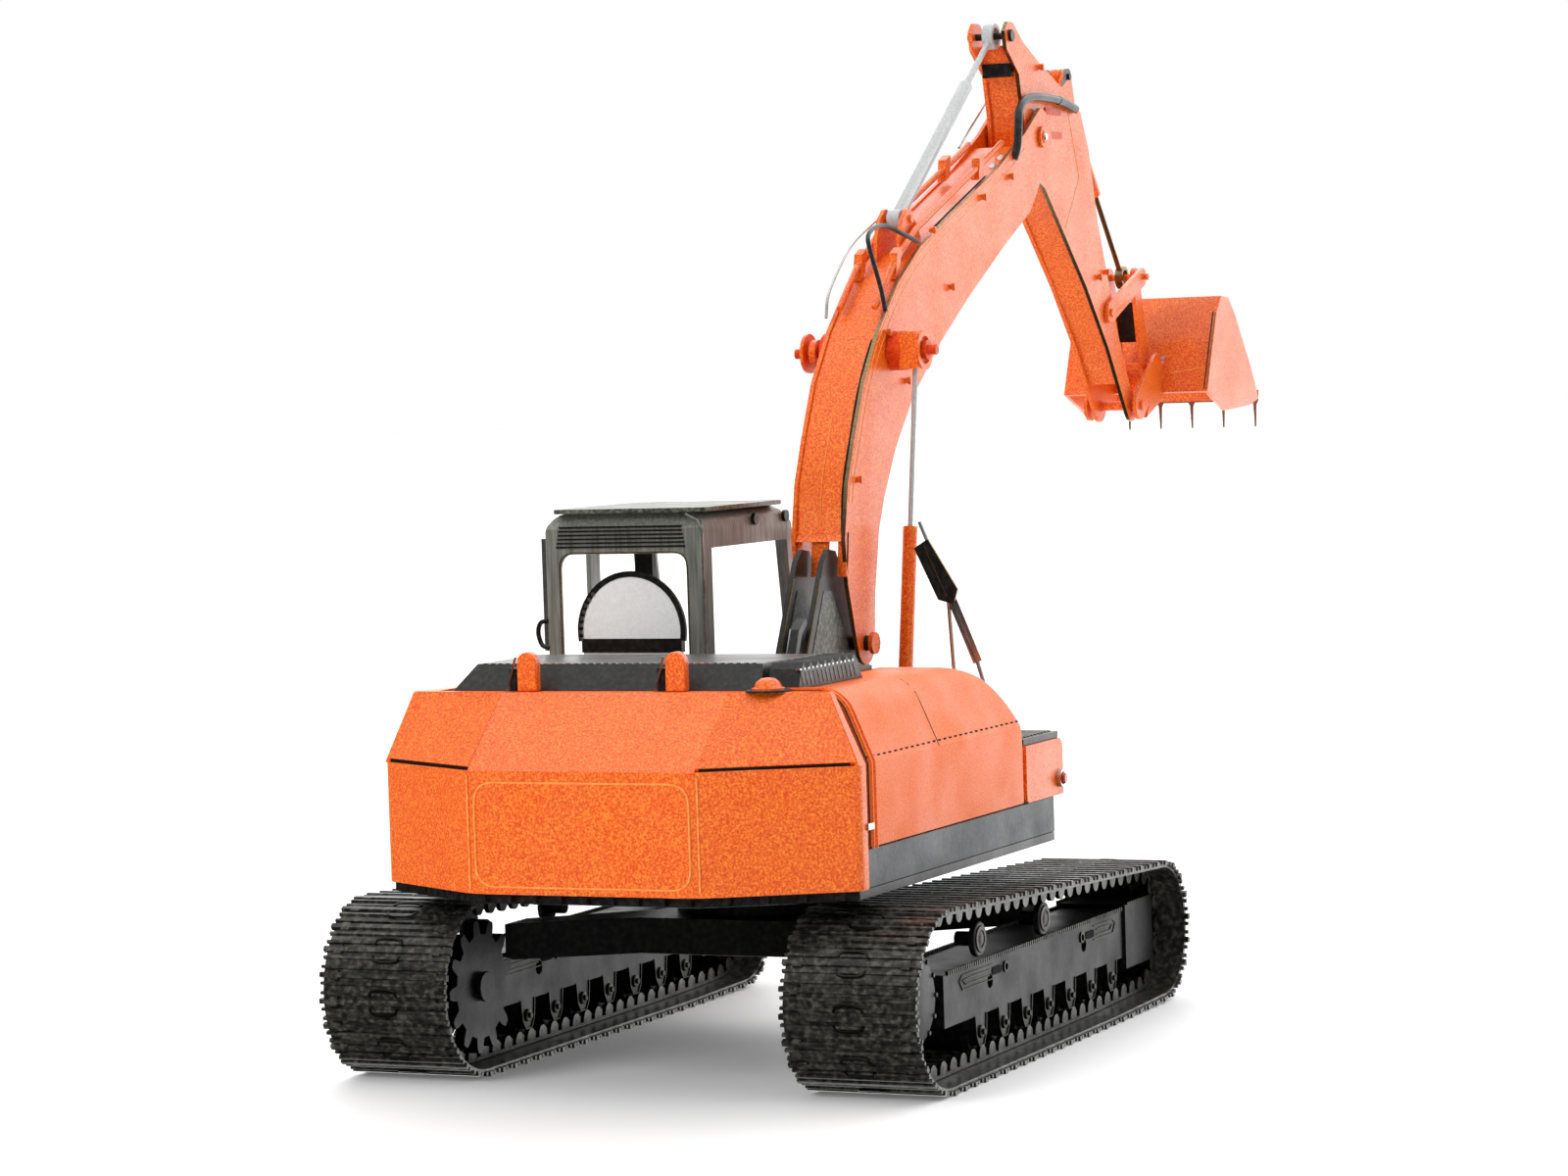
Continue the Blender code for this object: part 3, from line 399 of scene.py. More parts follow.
# The cab's black plate is painted mid grey with upright light streaks: painted sheen and highlights. The pillar
# material is a lighter copy of the same.
CAB_PAINTED_SHEEN = brushed("cab_plate_painted_sheen", (0.13, 0.132, 0.115), (0.29, 0.295, 0.26), 0.36, metallic=0.2, stretch=UPRIGHT)
PILLAR_PAINTED_SHEEN = brushed("cab_pillar_painted_sheen", (0.20, 0.20, 0.19), (0.34, 0.34, 0.33), 0.4, metallic=0.3, stretch=UPRIGHT)
EDGE = brushed("cut_edge", (0.15, 0.105, 0.05), (0.50, 0.38, 0.20), 0.34)
# Black for holes, slits and gaps; it also makes painted shadow lines on the hood.
HOLE_AND_SHADOW = paint("cut_through_and_shadow", (0.003, 0.003, 0.003), (0.004, 0.004, 0.004), (0.006, 0.006, 0.006), 0.9)
RUBBER = paint("hose_rubber", (0.010, 0.011, 0.012), (0.02, 0.022, 0.024), (0.035, 0.037, 0.04), 0.42,
               coat=0.2)
LAMP = paint("lamp_red", (0.38, 0.012, 0.006), (0.5, 0.02, 0.01), (0.62, 0.04, 0.02), 0.2,
             coat=0.8, speckle=1500, depth=0.002)


# ---------------------------------------------------------------- undercarriage

TRACK_X, BAND_W, GROUSER, SHOES = 20.0, 8.9, 0.18, 66
REAR, REAR_R = (24.1, 5.6), 5.6
FRONT, FRONT_R, KINK_Y = (-14.0, 4.85), 4.7, -4.2
CHAIN_X, CHAIN_TOP = 15.6, GROUSER + SHEET + 0.05
FRAME_OUT, FRAME_IN = 17.9, 13.4    # the side frame's two faces, off the middle
ROLLER_YS = [-8.6 + 3.9 * k for k in range(7)]
DRUM_X = 14.75


def track_loop(inset):
    """The track's loop, inset from its outside."""
    rise = atan2(FRONT[1] - FRONT_R, KINK_Y - FRONT[0])
    rear_r, front_r = REAR_R - inset, FRONT_R - inset
    top = 90 + atan2(REAR[1] + rear_r - FRONT[1] - front_r, REAR[0] - FRONT[0]) * 180 / pi
    return (arc(REAR, rear_r, -90, top, 30) + arc(FRONT, front_r, top, 270 - rise * 180 / pi, 30)
            + [(KINK_Y, inset)])


def walk(loop, count):
    """Evenly spaced places on a closed loop, each a function from (across, along, out) to a point."""
    total = sum(hypot(b[0] - a[0], b[1] - a[1]) for a, b in zip(loop, loop[1:] + loop[:1]))
    places = along(loop + loop[:1], total / count)[:count]
    return [lambda x, u, w, p=p, t=t: (x, p[0] + t[0] * u + t[1] * w, p[1] + t[1] * u - t[0] * w)
            for p, t in places]


def bar_at(piece, place, x, u, w, slope):
    """A small block in a place's own frame; slope narrows its top along the track."""
    corners = [(u[0], w[0]), (u[1], w[0]), (u[1] - slope, w[1]), (u[0] + slope, w[1])]
    piece.add([place(a, b, c) for a in x for b, c in corners],
              [(3, 2, 1, 0), (4, 5, 6, 7), (0, 1, 5, 4), (1, 2, 6, 5), (2, 3, 7, 6), (3, 0, 4, 7)])


def shoe_arcs(band, place, middle):
    """A shoe's two pressed arcs, bent away from each other."""
    bend = [(-0.75, 0.1), (-0.62, 0.38), (-0.3, 0.5), (0.3, 0.5), (0.62, 0.38), (0.75, 0.1)]
    up = Vector(place(0, 0, 1)) - Vector(place(0, 0, 0))
    for way in (-1, 1):
        line = [place(middle + x * 1.3, way * (u + 0.28), 0.1) for x, u in bend]
        band.line(line, up, 0.22, 0.06, 1)


def track_band(side, s):
    """Folded loop of sheet with a tall ridge, two low ridges and two flats to each shoe."""
    lo, hi = sorted((s * TRACK_X, s * (TRACK_X - BAND_W)))
    band = Piece()
    band.prism(track_loop(GROUSER + 0.02), lo + 0.22, hi - 0.22, holes=[track_loop(GROUSER + SHEET)])
    for k, place in enumerate(walk(track_loop(GROUSER), SHOES)):
        bar_at(band, place, (lo, hi), (-0.2, 0.2), (-0.12, GROUSER), 0.05)
        for u in (-0.52, 0.5):
            bar_at(band, place, (lo + 0.06, hi - 0.06), (u - 0.13, u + 0.13), (-0.12, 0.1), 0.05)
        for x in (lo + 1.0, hi - 1.0):
            bar_at(band, place, (x - 0.28, x + 0.28), (-0.34, 0.34), (-0.05, GROUSER - 0.02), 0.08)
        if k % 2:
            shoe_arcs(band, place, (lo + hi) / 2)
    band.finish(f"track_band_{side}_fine", "undercarriage", [TRACK, TRACK_EDGE],
                [f"track_band_{side}"], smooth=30)


def link_ear(chain, place, x):
    """One ear of a chain link, hanging into the loop."""
    ear = [(-0.55, -0.1), (0.55, -0.1), (0.55, -0.45)] + arc((0, -0.45), 0.5, 0, -180, 8)[1:]
    n = len(ear)
    verts = [place(x + t, u, w) for t in (0, SHEET) for u, w in ear]
    sides = [(i, (i + 1) % n, (i + 1) % n + n, i + n) for i in range(n)]
    chain.add(verts, [tuple(range(n)), tuple(range(2 * n - 1, n - 1, -1))] + sides, [0, 0] + [1] * n)


def track_chain(side, s):
    middle = s * CHAIN_X
    chain = Piece()
    chain.prism(track_loop(CHAIN_TOP), middle - 2.35, middle + 2.35, holes=[track_loop(CHAIN_TOP + 0.22)])
    for place in walk(track_loop(CHAIN_TOP), SHOES):
        for x in (-2.3, 2.0):
            link_ear(chain, place, middle + x)
        pin = [(0, 0), (0, 0.17), (4.3, 0.17), (4.3, 0)]
        chain.turned(pin, place(middle - 2.15, 0.81, -0.5), (1, 0, 0), 8)
    chain.finish(f"track_chain_{side}_fine", "undercarriage", [TRACK, TRACK_EDGE],
                 [f"track_chain_{side}"], smooth=30)


def pocket(detail, face, up, mouth, end):
    """Double outline of a pressed pocket, open at its mouth and pointed at its end."""
    way = 1 if end > mouth else -1
    for inset in (0.0, 0.55):
        top, foot = 6.2 - inset * 0.5, 5.3 + inset * 0.5
        start, stop = mouth + way * inset, end - way * inset
        path = [(start, top), (stop, top), (stop + way * 0.5, 5.9), (stop, foot), (start, foot)]
        detail.line([(face, y, z) for y, z in path], up, 0.1, 0.06, 1)


def frame_face(detail, face, way):
    """Perforations, pockets, slots, bolts and roller brackets on one face of a side frame."""
    up = (way, 0, 0)
    for k in range(86):
        y = -10.8 + k * 0.36
        detail.box((face - 0.1, y, 6.5), (face + 0.1, y + 0.2, 6.78), 1)
    pocket(detail, face, up, 12.6, 17.6)
    pocket(detail, face, up, -5.4, -9.0)
    for y in (11.9, -4.7):
        slot = rounded([(y - 0.75, 5.5), (y + 0.75, 5.5), (y + 0.75, 6.0), (y - 0.75, 6.0)], 0.24)
        detail.prism(slot, face - 0.05, face + way * 0.03, mat=2)
    for y in (10.4, -3.2):
        detail.turned([(0, 0.36), (0.1, 0.36), (0.1, 0.24), (0, 0.24)], (face, y, 5.75), up, 16, 1)
    for y in ROLLER_YS:
        axle = (face - way * 0.03, y, 2.35)
        detail.turned([(0, 0), (0, 0.42), (0.16, 0.4), (0.2, 0.28), (0.2, 0)], axle, up, 16, 1)
        detail.turned([(0, 0), (0, 0.2), (0.34, 0.18), (0.34, 0)], axle, up, 12)
        left = [(y - 0.95, 3.4), (y - 0.78, 2.1), (y - 0.4, 1.52)]
        right = [(y + 0.4, 1.52), (y + 0.78, 2.1), (y + 0.95, 3.4)]
        detail.line([(face, a, b) for a, b in left + right], up, 0.12, 0.08, 1)
    end_face = face + way * 0.2
    for k in range(14):
        y = -16.2 + k * 0.36
        detail.box((end_face - 0.1, y, 6.85), (end_face + 0.1, y + 0.2, 7.02), 1)


def track_frame(side, s):
    for node in ("track_frame", "track_frame_end", "carrier_roller_front", "carrier_roller_rear"):
        refined(f"{node}_{side}", [FRAME])
    detail = Piece()
    frame_face(detail, s * FRAME_OUT, s)
    frame_face(detail, s * FRAME_IN, -s)
    detail.finish(f"track_frame_detail_{side}", "undercarriage", [FRAME, TRACK_EDGE, HOLE_AND_SHADOW])


def track_rollers(side, s):
    """Track rollers, hubs of the carrier rollers, and the drive's drum with its bolts."""
    rollers = Piece()
    outwards = (s, 0, 0)
    roller = [(0, 0), (0, 0.95), (0.5, 0.95), (0.7, 0.7), (2.8, 0.7), (3.0, 0.95), (3.5, 0.95), (3.5, 0)]
    for y in ROLLER_YS:
        rollers.turned(roller, (min(s * 17.4, s * 13.9), y, 1.95), (1, 0, 0), 20)
    hub = [(0, 0), (0, 0.85), (0.08, 0.8), (0.08, 0.55), (0.02, 0.5), (0.1, 0.3), (0.1, 0)]
    for y, z in ((14.4, 8.0), (3.4, 7.85)):
        rollers.turned(hub, (s * FRAME_OUT, y, z), outwards, 20, 1)
    drum = [(0, 0), (0, 3.75), (1.6, 3.75), (2.0, 3.55), (2.3, 2.9), (2.9, 2.7), (3.1, 2.3), (3.1, 0)]
    rollers.turned(drum, (s * DRUM_X, *REAR), outwards, 48)
    bolt = [(0, 0), (0, 0.16), (0.12, 0.14), (0.12, 0)]
    for y, z in circle(REAR, 2.45, 12):
        rollers.turned(bolt, (s * (DRUM_X + 3.05), y, z), outwards, 8, 1)
    rollers.finish(f"track_rollers_{side}", "undercarriage", [FRAME, TRACK_EDGE])


def sprocket(side, s, teeth=13):
    wheel = Piece()
    outline = []
    for i in range(teeth):
        for turn, r in ((-8.5, 3.25), (-5.5, 3.9), (-3.2, 4.15), (3.2, 4.15), (5.5, 3.9), (8.5, 3.25)):
            a = radians(360 * i / teeth + turn)
            outline.append((REAR[0] + r * cos(a), REAR[1] + r * sin(a)))
    wheel.prism(outline, *sorted((s * 11.6, s * 12.3)), holes=[circle(REAR, 0.62)], edge=1)
    for y, z in circle(REAR, 2.75, 26):
        wheel.turned([(0, 0), (0, 0.13), (0.75, 0.13), (0.75, 0)], (s * 12.25, y, z), (s, 0, 0), 8, 1)
    wheel.finish(f"sprocket_{side}_fine", f"sprocket_{side}", [FRAME, TRACK_EDGE],
                 [f"sprocket_{side}"], bevel=0.03)


for side, s in (("right", -1), ("left", 1)):
    track_band(side, s)
    track_chain(side, s)
    track_frame(side, s)
    track_rollers(side, s)
    sprocket(side, s)
refined("centre_frame", [BLACK])
refined("slew_ring", [BLACK])


# ---------------------------------------------------------------- tail and floor

FLOOR_Z, SKIRT_Z, BODY_Z, FOLD_Z, TOP_Z = 11.9, 12.5, 14.8, 19.9, 24.2
HOUSE_X, TAIL_Y, CORNER_Y, CORNER_X = 15.9, 32.6, 27.6, 7.4
END_Y = 26.62                       # where the tail meets the side panels
BACK_TOP_Y, SHOULDER = 27.6, (13.95, 27.15)
DECK_X = 7.65                       # half width of the back's sloping panel at its top


def patch(piece, quad, thick):
    """A flat panel of thickness thick behind its four corners."""
    a, b, c, d = [Vector(p) for p in quad]
    inwards = (b - a).cross(d - a).normalized() * -thick
    front = [a, b, c, d]
    piece.add([tuple(p) for p in front] + [tuple(p + inwards) for p in front],
              [(0, 1, 2, 3), (7, 6, 5, 4), (0, 4, 5, 1), (1, 5, 6, 2), (2, 6, 7, 3), (3, 7, 4, 0)])


def corner_at(t, z, s):
    """A point on the tail's corner facet, t from its back edge."""
    return s * 7.7 * (1 + t), 32.3 - 4.52 * t, z


def tail():
    """Folded counterweight: an upright band, sloping panels above it and a narrow deck."""
    piece = Piece()
    outside = [(-HOUSE_X, END_Y), (-HOUSE_X, CORNER_Y), (-CORNER_X, TAIL_Y), (CORNER_X, TAIL_Y),
               (HOUSE_X, CORNER_Y), (HOUSE_X, END_Y)]
    soft = rounded(outside, [0, 0.5, 1.1, 1.1, 0.5, 0], 6)
    piece.prism(soft + offset_line(soft, SHEET)[::-1], SKIRT_Z, FOLD_Z, "z")
    slit = FOLD_Z + 0.24
    for s in (-1, 1):
        corner = [(s * 7.55, 32.45, slit), (s * 15.75, 27.62, slit), (s * 13.9, SHOULDER[1], TOP_Z),
                  (s * 7.6, BACK_TOP_Y, TOP_Z)]
        end = [(s * HOUSE_X, CORNER_Y, FOLD_Z), (s * HOUSE_X, END_Y, FOLD_Z), (s * SHOULDER[0], END_Y, TOP_Z),
               (s * SHOULDER[0], SHOULDER[1], TOP_Z)]
        for quad in (corner, end):
            patch(piece, quad if s < 0 else [quad[i] for i in (1, 0, 3, 2)], SHEET)
    patch(piece, [(7.5, 32.58, FOLD_Z - 0.02), (-7.5, 32.58, FOLD_Z - 0.02), (-DECK_X, BACK_TOP_Y, TOP_Z),
                  (DECK_X, BACK_TOP_Y, TOP_Z)], SHEET)
    piece.prism([(-SHOULDER[0], END_Y), (-13.9, SHOULDER[1]), (-DECK_X, BACK_TOP_Y), (DECK_X, BACK_TOP_Y),
                 (13.9, SHOULDER[1]), (SHOULDER[0], END_Y)], TOP_Z - SHEET, TOP_Z, "z")
    piece.finish("counterweight_fine", "house", [ORANGE], ["counterweight"],
                 bevel=0.1, smooth=50)


def tail_etching():
    """The back's panel line, the corners' fold and panel lines, and the slits above the corners."""
    etch = Piece()
    back = rounded([(-7.1, 12.95), (7.1, 12.95), (7.1, 19.2), (-7.1, 19.2)], 1.3, 6)
    etch.line([(x, TAIL_Y, z) for x, z in back + back[:1]], (0, 1, 0), 0.14, 0.04)
    for s in (-1, 1):
        way = (s * 5.0, 8.5, 0)
        path = rounded([(1.0, 18.9), (0.25, 18.9), (0.25, 13.6), (1.0, 13.6)], [0, 0.3, 0.3, 0], 6)
        etch.line([corner_at(t, z, s) for t, z in path], way, 0.14, 0.04)
        etch.line([(s * 7.62, TAIL_Y - 0.15, 12.8), (s * 7.62, TAIL_Y - 0.15, 19.6)], way, 0.12, 0.03)
        etch.line([corner_at(t, FOLD_Z + 0.11, s) for t in (0.0, 1.0)], way, 0.2, 0.03, 1)
    etch.finish("counterweight_etching", "house", [ETCH, HOLE_AND_SHADOW])


def floor_tabs():
    piece = Piece()
    for k in range(9):
        x = -6.8 + k * 1.7
        piece.box((x - 0.28, TAIL_Y - 0.5, FLOOR_Z + 0.1), (x + 0.28, TAIL_Y + 0.02, SKIRT_Z))
    for t in (0.15, 0.4, 0.65, 0.9):
        for s in (-1, 1):
            x, y, _ = corner_at(t, 0, s)
            piece.box((x - 0.3, y - 0.5, FLOOR_Z + 0.1), (x + 0.3, y - 0.05, SKIRT_Z))
    piece.finish("floor_tabs", "house", [BLACK])


tail()
tail_etching()
floor_tabs()
refined("house_floor", [BLACK])
refined("skirt", [GREY])


# ---------------------------------------------------------------- hood and side panel

HOOD_X, HOOD_IN, HOOD_REAR, HOOD_FRONT = HOUSE_X - 0.15, 8.9, 26.15, 0.1
HOOD_LEAN, SHOULDER_R, HOOD_CORNER_R = 1.8, 1.3, 0.9
NOSE_Z, NOSE_LENGTH = 18.6, 7.9     # where the round nose starts, and how far it draws back
LEVELS = [BODY_Z, 17.0, NOSE_Z, 19.0, 19.4, FOLD_Z] + [FOLD_Z + 0.35 * k for k in range(1, 9)]
LEVELS += [TOP_Z - SHOULDER_R + SHOULDER_R * sin(radians(a)) for a in range(9, 91, 9)]


def hood_x(z):
    """Half width of the hood's outside at a height, with its lean and its round shoulder."""
    lean = max(0.0, z - FOLD_Z) / (TOP_Z - FOLD_Z) * HOOD_LEAN
    rise = max(0.0, z - (TOP_Z - SHOULDER_R)) / SHOULDER_R
    return HOOD_X - lean - SHOULDER_R * (1 - sqrt(max(0.0, 1 - rise ** 2)))


def hood_front(z):
    """Station of the hood's front at a height."""
    rise = max(0.0, z - NOSE_Z) / (TOP_Z - NOSE_Z)
    return HOOD_FRONT + NOSE_LENGTH * (1 - sqrt(max(0.0, 1 - rise ** 2)))


def hood():
    sections = []
    for z in LEVELS:
        x, y, r = hood_x(z), hood_front(z), HOOD_CORNER_R
        corner = [(-x + r - r * cos(radians(a)), y + r - r * sin(radians(a))) for a in range(15, 91, 15)]
        ring = [(-x, HOOD_REAR), (-x, y + r)] + corner + [(-HOOD_IN, y), (-HOOD_IN, HOOD_REAR)]
        sections.append([(a, b, z) for a, b in ring])
    piece = Piece()
    piece.rings(sections)
    piece.finish("hood_right_fine", "house", [MATT], ["hood_right"], smooth=19)


def hood_marks():
    """Perforated fold line, the seam above it and the lower edge's shadow line."""
    marks = Piece()
    x = hood_x(20.2)
    for k in range(29):
        y = 1.4 + k * 0.87
        marks.box((-x - 0.012, y - 0.19, 20.1), (-x + 0.3, y + 0.19, 20.28))
    seam_levels = (FOLD_Z, 20.8, 21.7, 22.6, 23.2, 23.7, 24.0, TOP_Z)
    seam = [(-hood_x(z), 14.8 + (z - FOLD_Z) * 0.06, z) for z in seam_levels]
    marks.line(seam, (-1, 0, 0.3), 0.16, 0.012)
    # A painted shadow: a dark line along the hood's lower edge.
    marks.line([(-HOOD_X, y, BODY_Z + 0.06) for y in (26.1, 0.0)], (-1, 0, 0), 0.16, 0.01)
    marks.finish("hood_marks", "house", [HOLE_AND_SHADOW])


def hood_rims_and_gap_shadow():
    """Rims along the hood's rear edge, over its side, its shoulder and its top; the first is a painted shadow, a
    dark strip that darkens the gap to the tail.
    """
    rims_and_shadow = Piece()
    ups = [(-1, 0, 0.15)] * (len(LEVELS) - 6) + [(-0.6, 0, 0.8)] * 5 + [(0, 0, 1)] * 3
    # The first strip, in the black hole material, is painted shadow in the gap to the tail.
    for y, width, height, mat in ((26.0, 0.34, 0.03, 1), (25.62, 0.22, 0.14, 0), (25.05, 0.2, 0.12, 0)):
        path = [(-hood_x(z), y, z) for z in LEVELS] + [(-11.5, y, TOP_Z), (-9.3, y, TOP_Z)]
        rims_and_shadow.line(path, ups, width, height, mat)
    rims_and_shadow.finish("hood_rims_and_gap_shadow", "house", [MATT, HOLE_AND_SHADOW])


def hood_clip():
    clip = Piece()
    clip.box((-16.05, 25.9, 16.0), (-15.6, 26.85, 16.4))
    clip.finish("hood_clip", "house", [STEEL], bevel=0.05)


hood()
hood_marks()
hood_rims_and_gap_shadow()
refined("side_panel_left", [ORANGE])
hood_clip()


# ---------------------------------------------------------------- deck and front of the house

def cover_stitches():
    """Bright perforations along the cover's rear fold, and slits in the vent's side."""
    cover_lo, cover_hi = node_box("engine_cover")
    vent_lo, _ = node_box("engine_vent")
    stitch = Piece()
    for k in range(36):
        x = cover_lo.x + 0.8 + k * 0.52
        stitch.box((x, 25.05, cover_hi.z - 0.02), (x + 0.3, 25.2, cover_hi.z + 0.05))
    for k in range(14):
        y = vent_lo.y + 1.0 + k * 0.6
        slit = [(y, 24.4), (y + 0.15, 24.4), (y + 0.5, 25.2), (y + 0.35, 25.2)]
        stitch.prism(slit, vent_lo.x - 0.03, vent_lo.x + 0.05, mat=1)
        stitch.box((vent_lo.x - 0.02, y + 0.4, 25.33), (vent_lo.x + 0.3, y + 0.6, 25.45))
    stitch.finish("cover_stitches", "house", [STEEL, OLIVE_AND_SHEEN])


def lifting_lugs():
    plates = Piece()
    for side, x in (("left", 6.1), ("right", -3.9)):
        refined(f"lifting_lug_{side}", [ORANGE], bevel=0.1)
        plates.box((x + 0.75, 26.5, TOP_Z), (x + 1.3, 26.9, 25.6))
        plates.line([(x + 0.8, 27.0, 26.3), (x + 1.5, 27.0, TOP_Z)], (0, 1, 0), 0.16, 0.06, 1)
    plates.finish("lug_plates", "house", [BLACK, STEEL])


def filler_ring():
    ring = Piece()
    ring.turned([(0, 0), (0, 1.35), (0.12, 1.35), (0.12, 0)], (-9.9, 26.95, TOP_Z), (0, 0, 1), 32)
    ring.finish("filler_ring", "house", [GREY])


def exhaust_edge():
    edge = Piece()
    edge.line([(-1.3, 5.2, 20.0), (-1.3, 5.1, 24.9), (-1.3, 4.4, 26.4)], (0, 1, 0.3), 0.14, 0.05)
    edge.finish("exhaust_edge", "house", [STEEL])


def step_grille():
    grille = Piece()
    for k in range(9):
        y = -5.8 + k * 0.62
        grille.box((-15.2, y, 18.93), (-9.6, y + 0.3, 19.03))
    grille.finish("step_grille", "house", [OLIVE_AND_SHEEN])


def lamp_bezel():
    bezel = Piece()
    ring = [(0, 0.44), (0.28, 0.44), (0.28, 0.6), (0, 0.6), (0, 0.44)]
    bezel.turned(ring, (-15.72, -5.8, 15.9), (-1, 0, 0), 24)
    bezel.finish("lamp_bezel", "house", [STEEL])


refined("engine_cover", [BLACK], bevel=0.12)
refined("engine_vent", [BLACK])
cover_stitches()
lifting_lugs()
refined("filler_cap", [ORANGE])
filler_ring()
refined("exhaust", [BLACK])
exhaust_edge()
refined("step_box", [ORANGE])
refined("step_box_lid", [BLACK])
step_grille()
refined("side_lamp", [LAMP])
lamp_bezel()


# ---------------------------------------------------------------- boom bracket and mirror

BOOM_X, BOOM_HW, ARM_HW = -0.9, 1.95, 1.45
FOOT = pivot("boom_lift")


def on_foot_pin(p):
    """Whether a face belongs to the ends of the boom's foot pin."""
    return abs(p.x - BOOM_X) > 2.2 and hypot(p.y - FOOT[0], p.z - FOOT[1]) < 1.0


def bracket_sheen_and_edges():
    """A painted sheen on each cheek's right side, a pale patch that stands in for the light on that face, with the
    cheek's bright rear edge.
    """
    panels = Piece()
    rear_edge = [(4.6, 12.6), (3.6, 24.6), (1.0, 29.5)]
    # Outline of the painted sheen patch on each black cheek's lit right face.
    panel = [(3.8, 14.0), (2.9, 24.4), (0.6, 28.7), (-0.6, 28.6), (-5.0, 22.2), (-3.4, 16.0)]
    for x in (BOOM_X - 1.15, BOOM_X + 0.75):
        panels.prism(panel, x - 0.04, x + 0.02)
        panels.line([(x + 0.03, y, z) for y, z in rear_edge], (-0.7, 0.7, 0), 0.14, 0.05, 1)
    panels.finish("bracket_sheen_and_edges", "house", [OLIVE_AND_SHEEN, EDGE])


def mirror_strip():
    """The mirror's lower arm, a bent strip, and the bright edge of the mirror's back."""
    strip = Piece()
    section = [(-0.32, -0.06), (0.32, -0.06), (0.32, 0.06), (-0.32, 0.06)]
    strip.sweep([(-9.95, -1.95, 28.2), (-10.9, -1.95, 25.9), (-11.75, -1.95, 23.8)], section, up=(0, 1, 0))
    strip.line([(-8.35, -1.6, 31.4), (-9.85, -1.6, 28.1)], (0, 1, 0), 0.12, 0.05, 1)
    strip.finish("mirror_strip", "house", [STEEL, EDGE])


refined("boom_bracket", [BLACK, ORANGE], accent=on_foot_pin)
bracket_sheen_and_edges()
refined("mirror", [BLACK, EDGE], "y")
refined("mirror_stay", [STEEL])
mirror_strip()


# ---------------------------------------------------------------- cab

CAB_BACK = 6.2
SEAT_MIDDLE, SEAT_R = (9.9, 26.4), 3.95


def cab_ribs():
    """Ribs under the roof's rear edge, two rings on the right side and a grab loop."""
    ribs = Piece()
    for k in range(6):
        z = 31.95 + k * 0.26
        ribs.box((5.2 + 0.05 * k, CAB_BACK - 0.1, z), (14.6 - 0.05 * k, CAB_BACK + 0.08, z + 0.12))
    ring = [(0, 0.22), (0.25, 0.22), (0.25, 0.4), (0, 0.4), (0, 0.22)]
    for y in (-1.8, -6.7):
        ribs.turned(ring, (3.7, y, 33.4), (1, 0, 0), 16)
    loop = [(15.4, 27.2), (15.95, 27.05), (16.15, 26.4), (15.9, 25.6), (15.4, 25.4)]
    ribs.tube(smooth_line([(x, CAB_BACK, z) for x, z in loop], 5), 0.16)
    ribs.finish("cab_ribs", "house", [BLACK])


def cab_trim():
    """Cut edge round the rear window, the bright right corner and the left strip."""
    trim = Piece()
    window = rounded([(5.1, 24.0), (14.4, 24.0), (14.4, 31.6), (5.1, 31.6)], 1.0)
    trim.line([(x, CAB_BACK, z) for x, z in window + window[:1]], (0, 1, 0), 0.14, 0.05)
    corner = [(3.95, 25.0), (3.95, 32.8), (4.3, 33.7), (5.1, 34.1)]
    trim.line([(x, CAB_BACK, z) for x, z in corner], (-0.5, 1, 0), 0.16, 0.05, 1)
    trim.box((15.4, CAB_BACK - 0.3, 25.2), (15.75, CAB_BACK - 0.1, 32.6), 1)
    trim.finish("cab_trim", "house", [EDGE, STEEL])


def seat_rim():
    """Black band round the seat's back, with a row of bright notches, and the bar below it."""
    rim = Piece()
    band = arc(SEAT_MIDDLE, SEAT_R, -10, 190, 26) + arc(SEAT_MIDDLE, SEAT_R - 0.37, 190, -10, 26)
    rim.prism(band, 4.75, 5.0, "y")
    rim.box((6.25, 4.5, 25.0), (13.55, 5.05, 25.9))
    for x, z in arc(SEAT_MIDDLE, SEAT_R - 0.29, -8, 42, 7):
        rim.box((x - 0.1, 4.9, z - 0.12), (x + 0.12, 5.06, z + 0.12), 1)
    rim.finish("seat_rim", "house", [BLACK, STEEL])


# The cab frame in painted sheen, with the lighter copy on faces ahead of station -6.5.
refined("cab_frame", [CAB_PAINTED_SHEEN, PILLAR_PAINTED_SHEEN], accent=lambda p: p.y < -6.5)
refined("cab_roof", [OLIVE_AND_SHEEN])
refined("cab_visor", [BLACK])
# The seat's bright steel, painted as its reflection of the white surroundings.
refined("seat", [SEAT_REFLECTION], bevel=0.06)
cab_ribs()
cab_trim()
seat_rim()


# ---------------------------------------------------------------- boom

BOOM_CYL_TOP, BUCKET_CYL_BASE = (-10.4, 44.25), (-48.6, 64.6)
OUTWARDS = (0, 0.7, 0.7)            # off the boom's back
BOOM_BACK = [(-1.75, 32.3), (-2.22, 35.48), (-3.62, 38.58), (-5.52, 42.18), (-8.32, 45.58),
             (-11.92, 48.78), (-16.12, 51.28), (-21.92, 53.58), (-31.12, 57.08), (-35.4, 58.9)]
RIGHT_REAR = [(-1.35, 32.0), (-2.1, 35.6), (-3.5, 38.7), (-5.4, 42.3), (-8.2, 45.7),
              (-11.8, 48.9), (-16.0, 51.4), (-21.8, 53.7), (-31.0, 57.2), (-36.0, 59.6)]


def near(centre, reach):
    """Test for faces close to an axis across the machine."""
    return lambda p: hypot(p.y - centre[0], p.z - centre[1]) < reach


def smooth_2d(points):
    return [(p.y, p.z) for p in smooth_line([(0, *p) for p in points])]


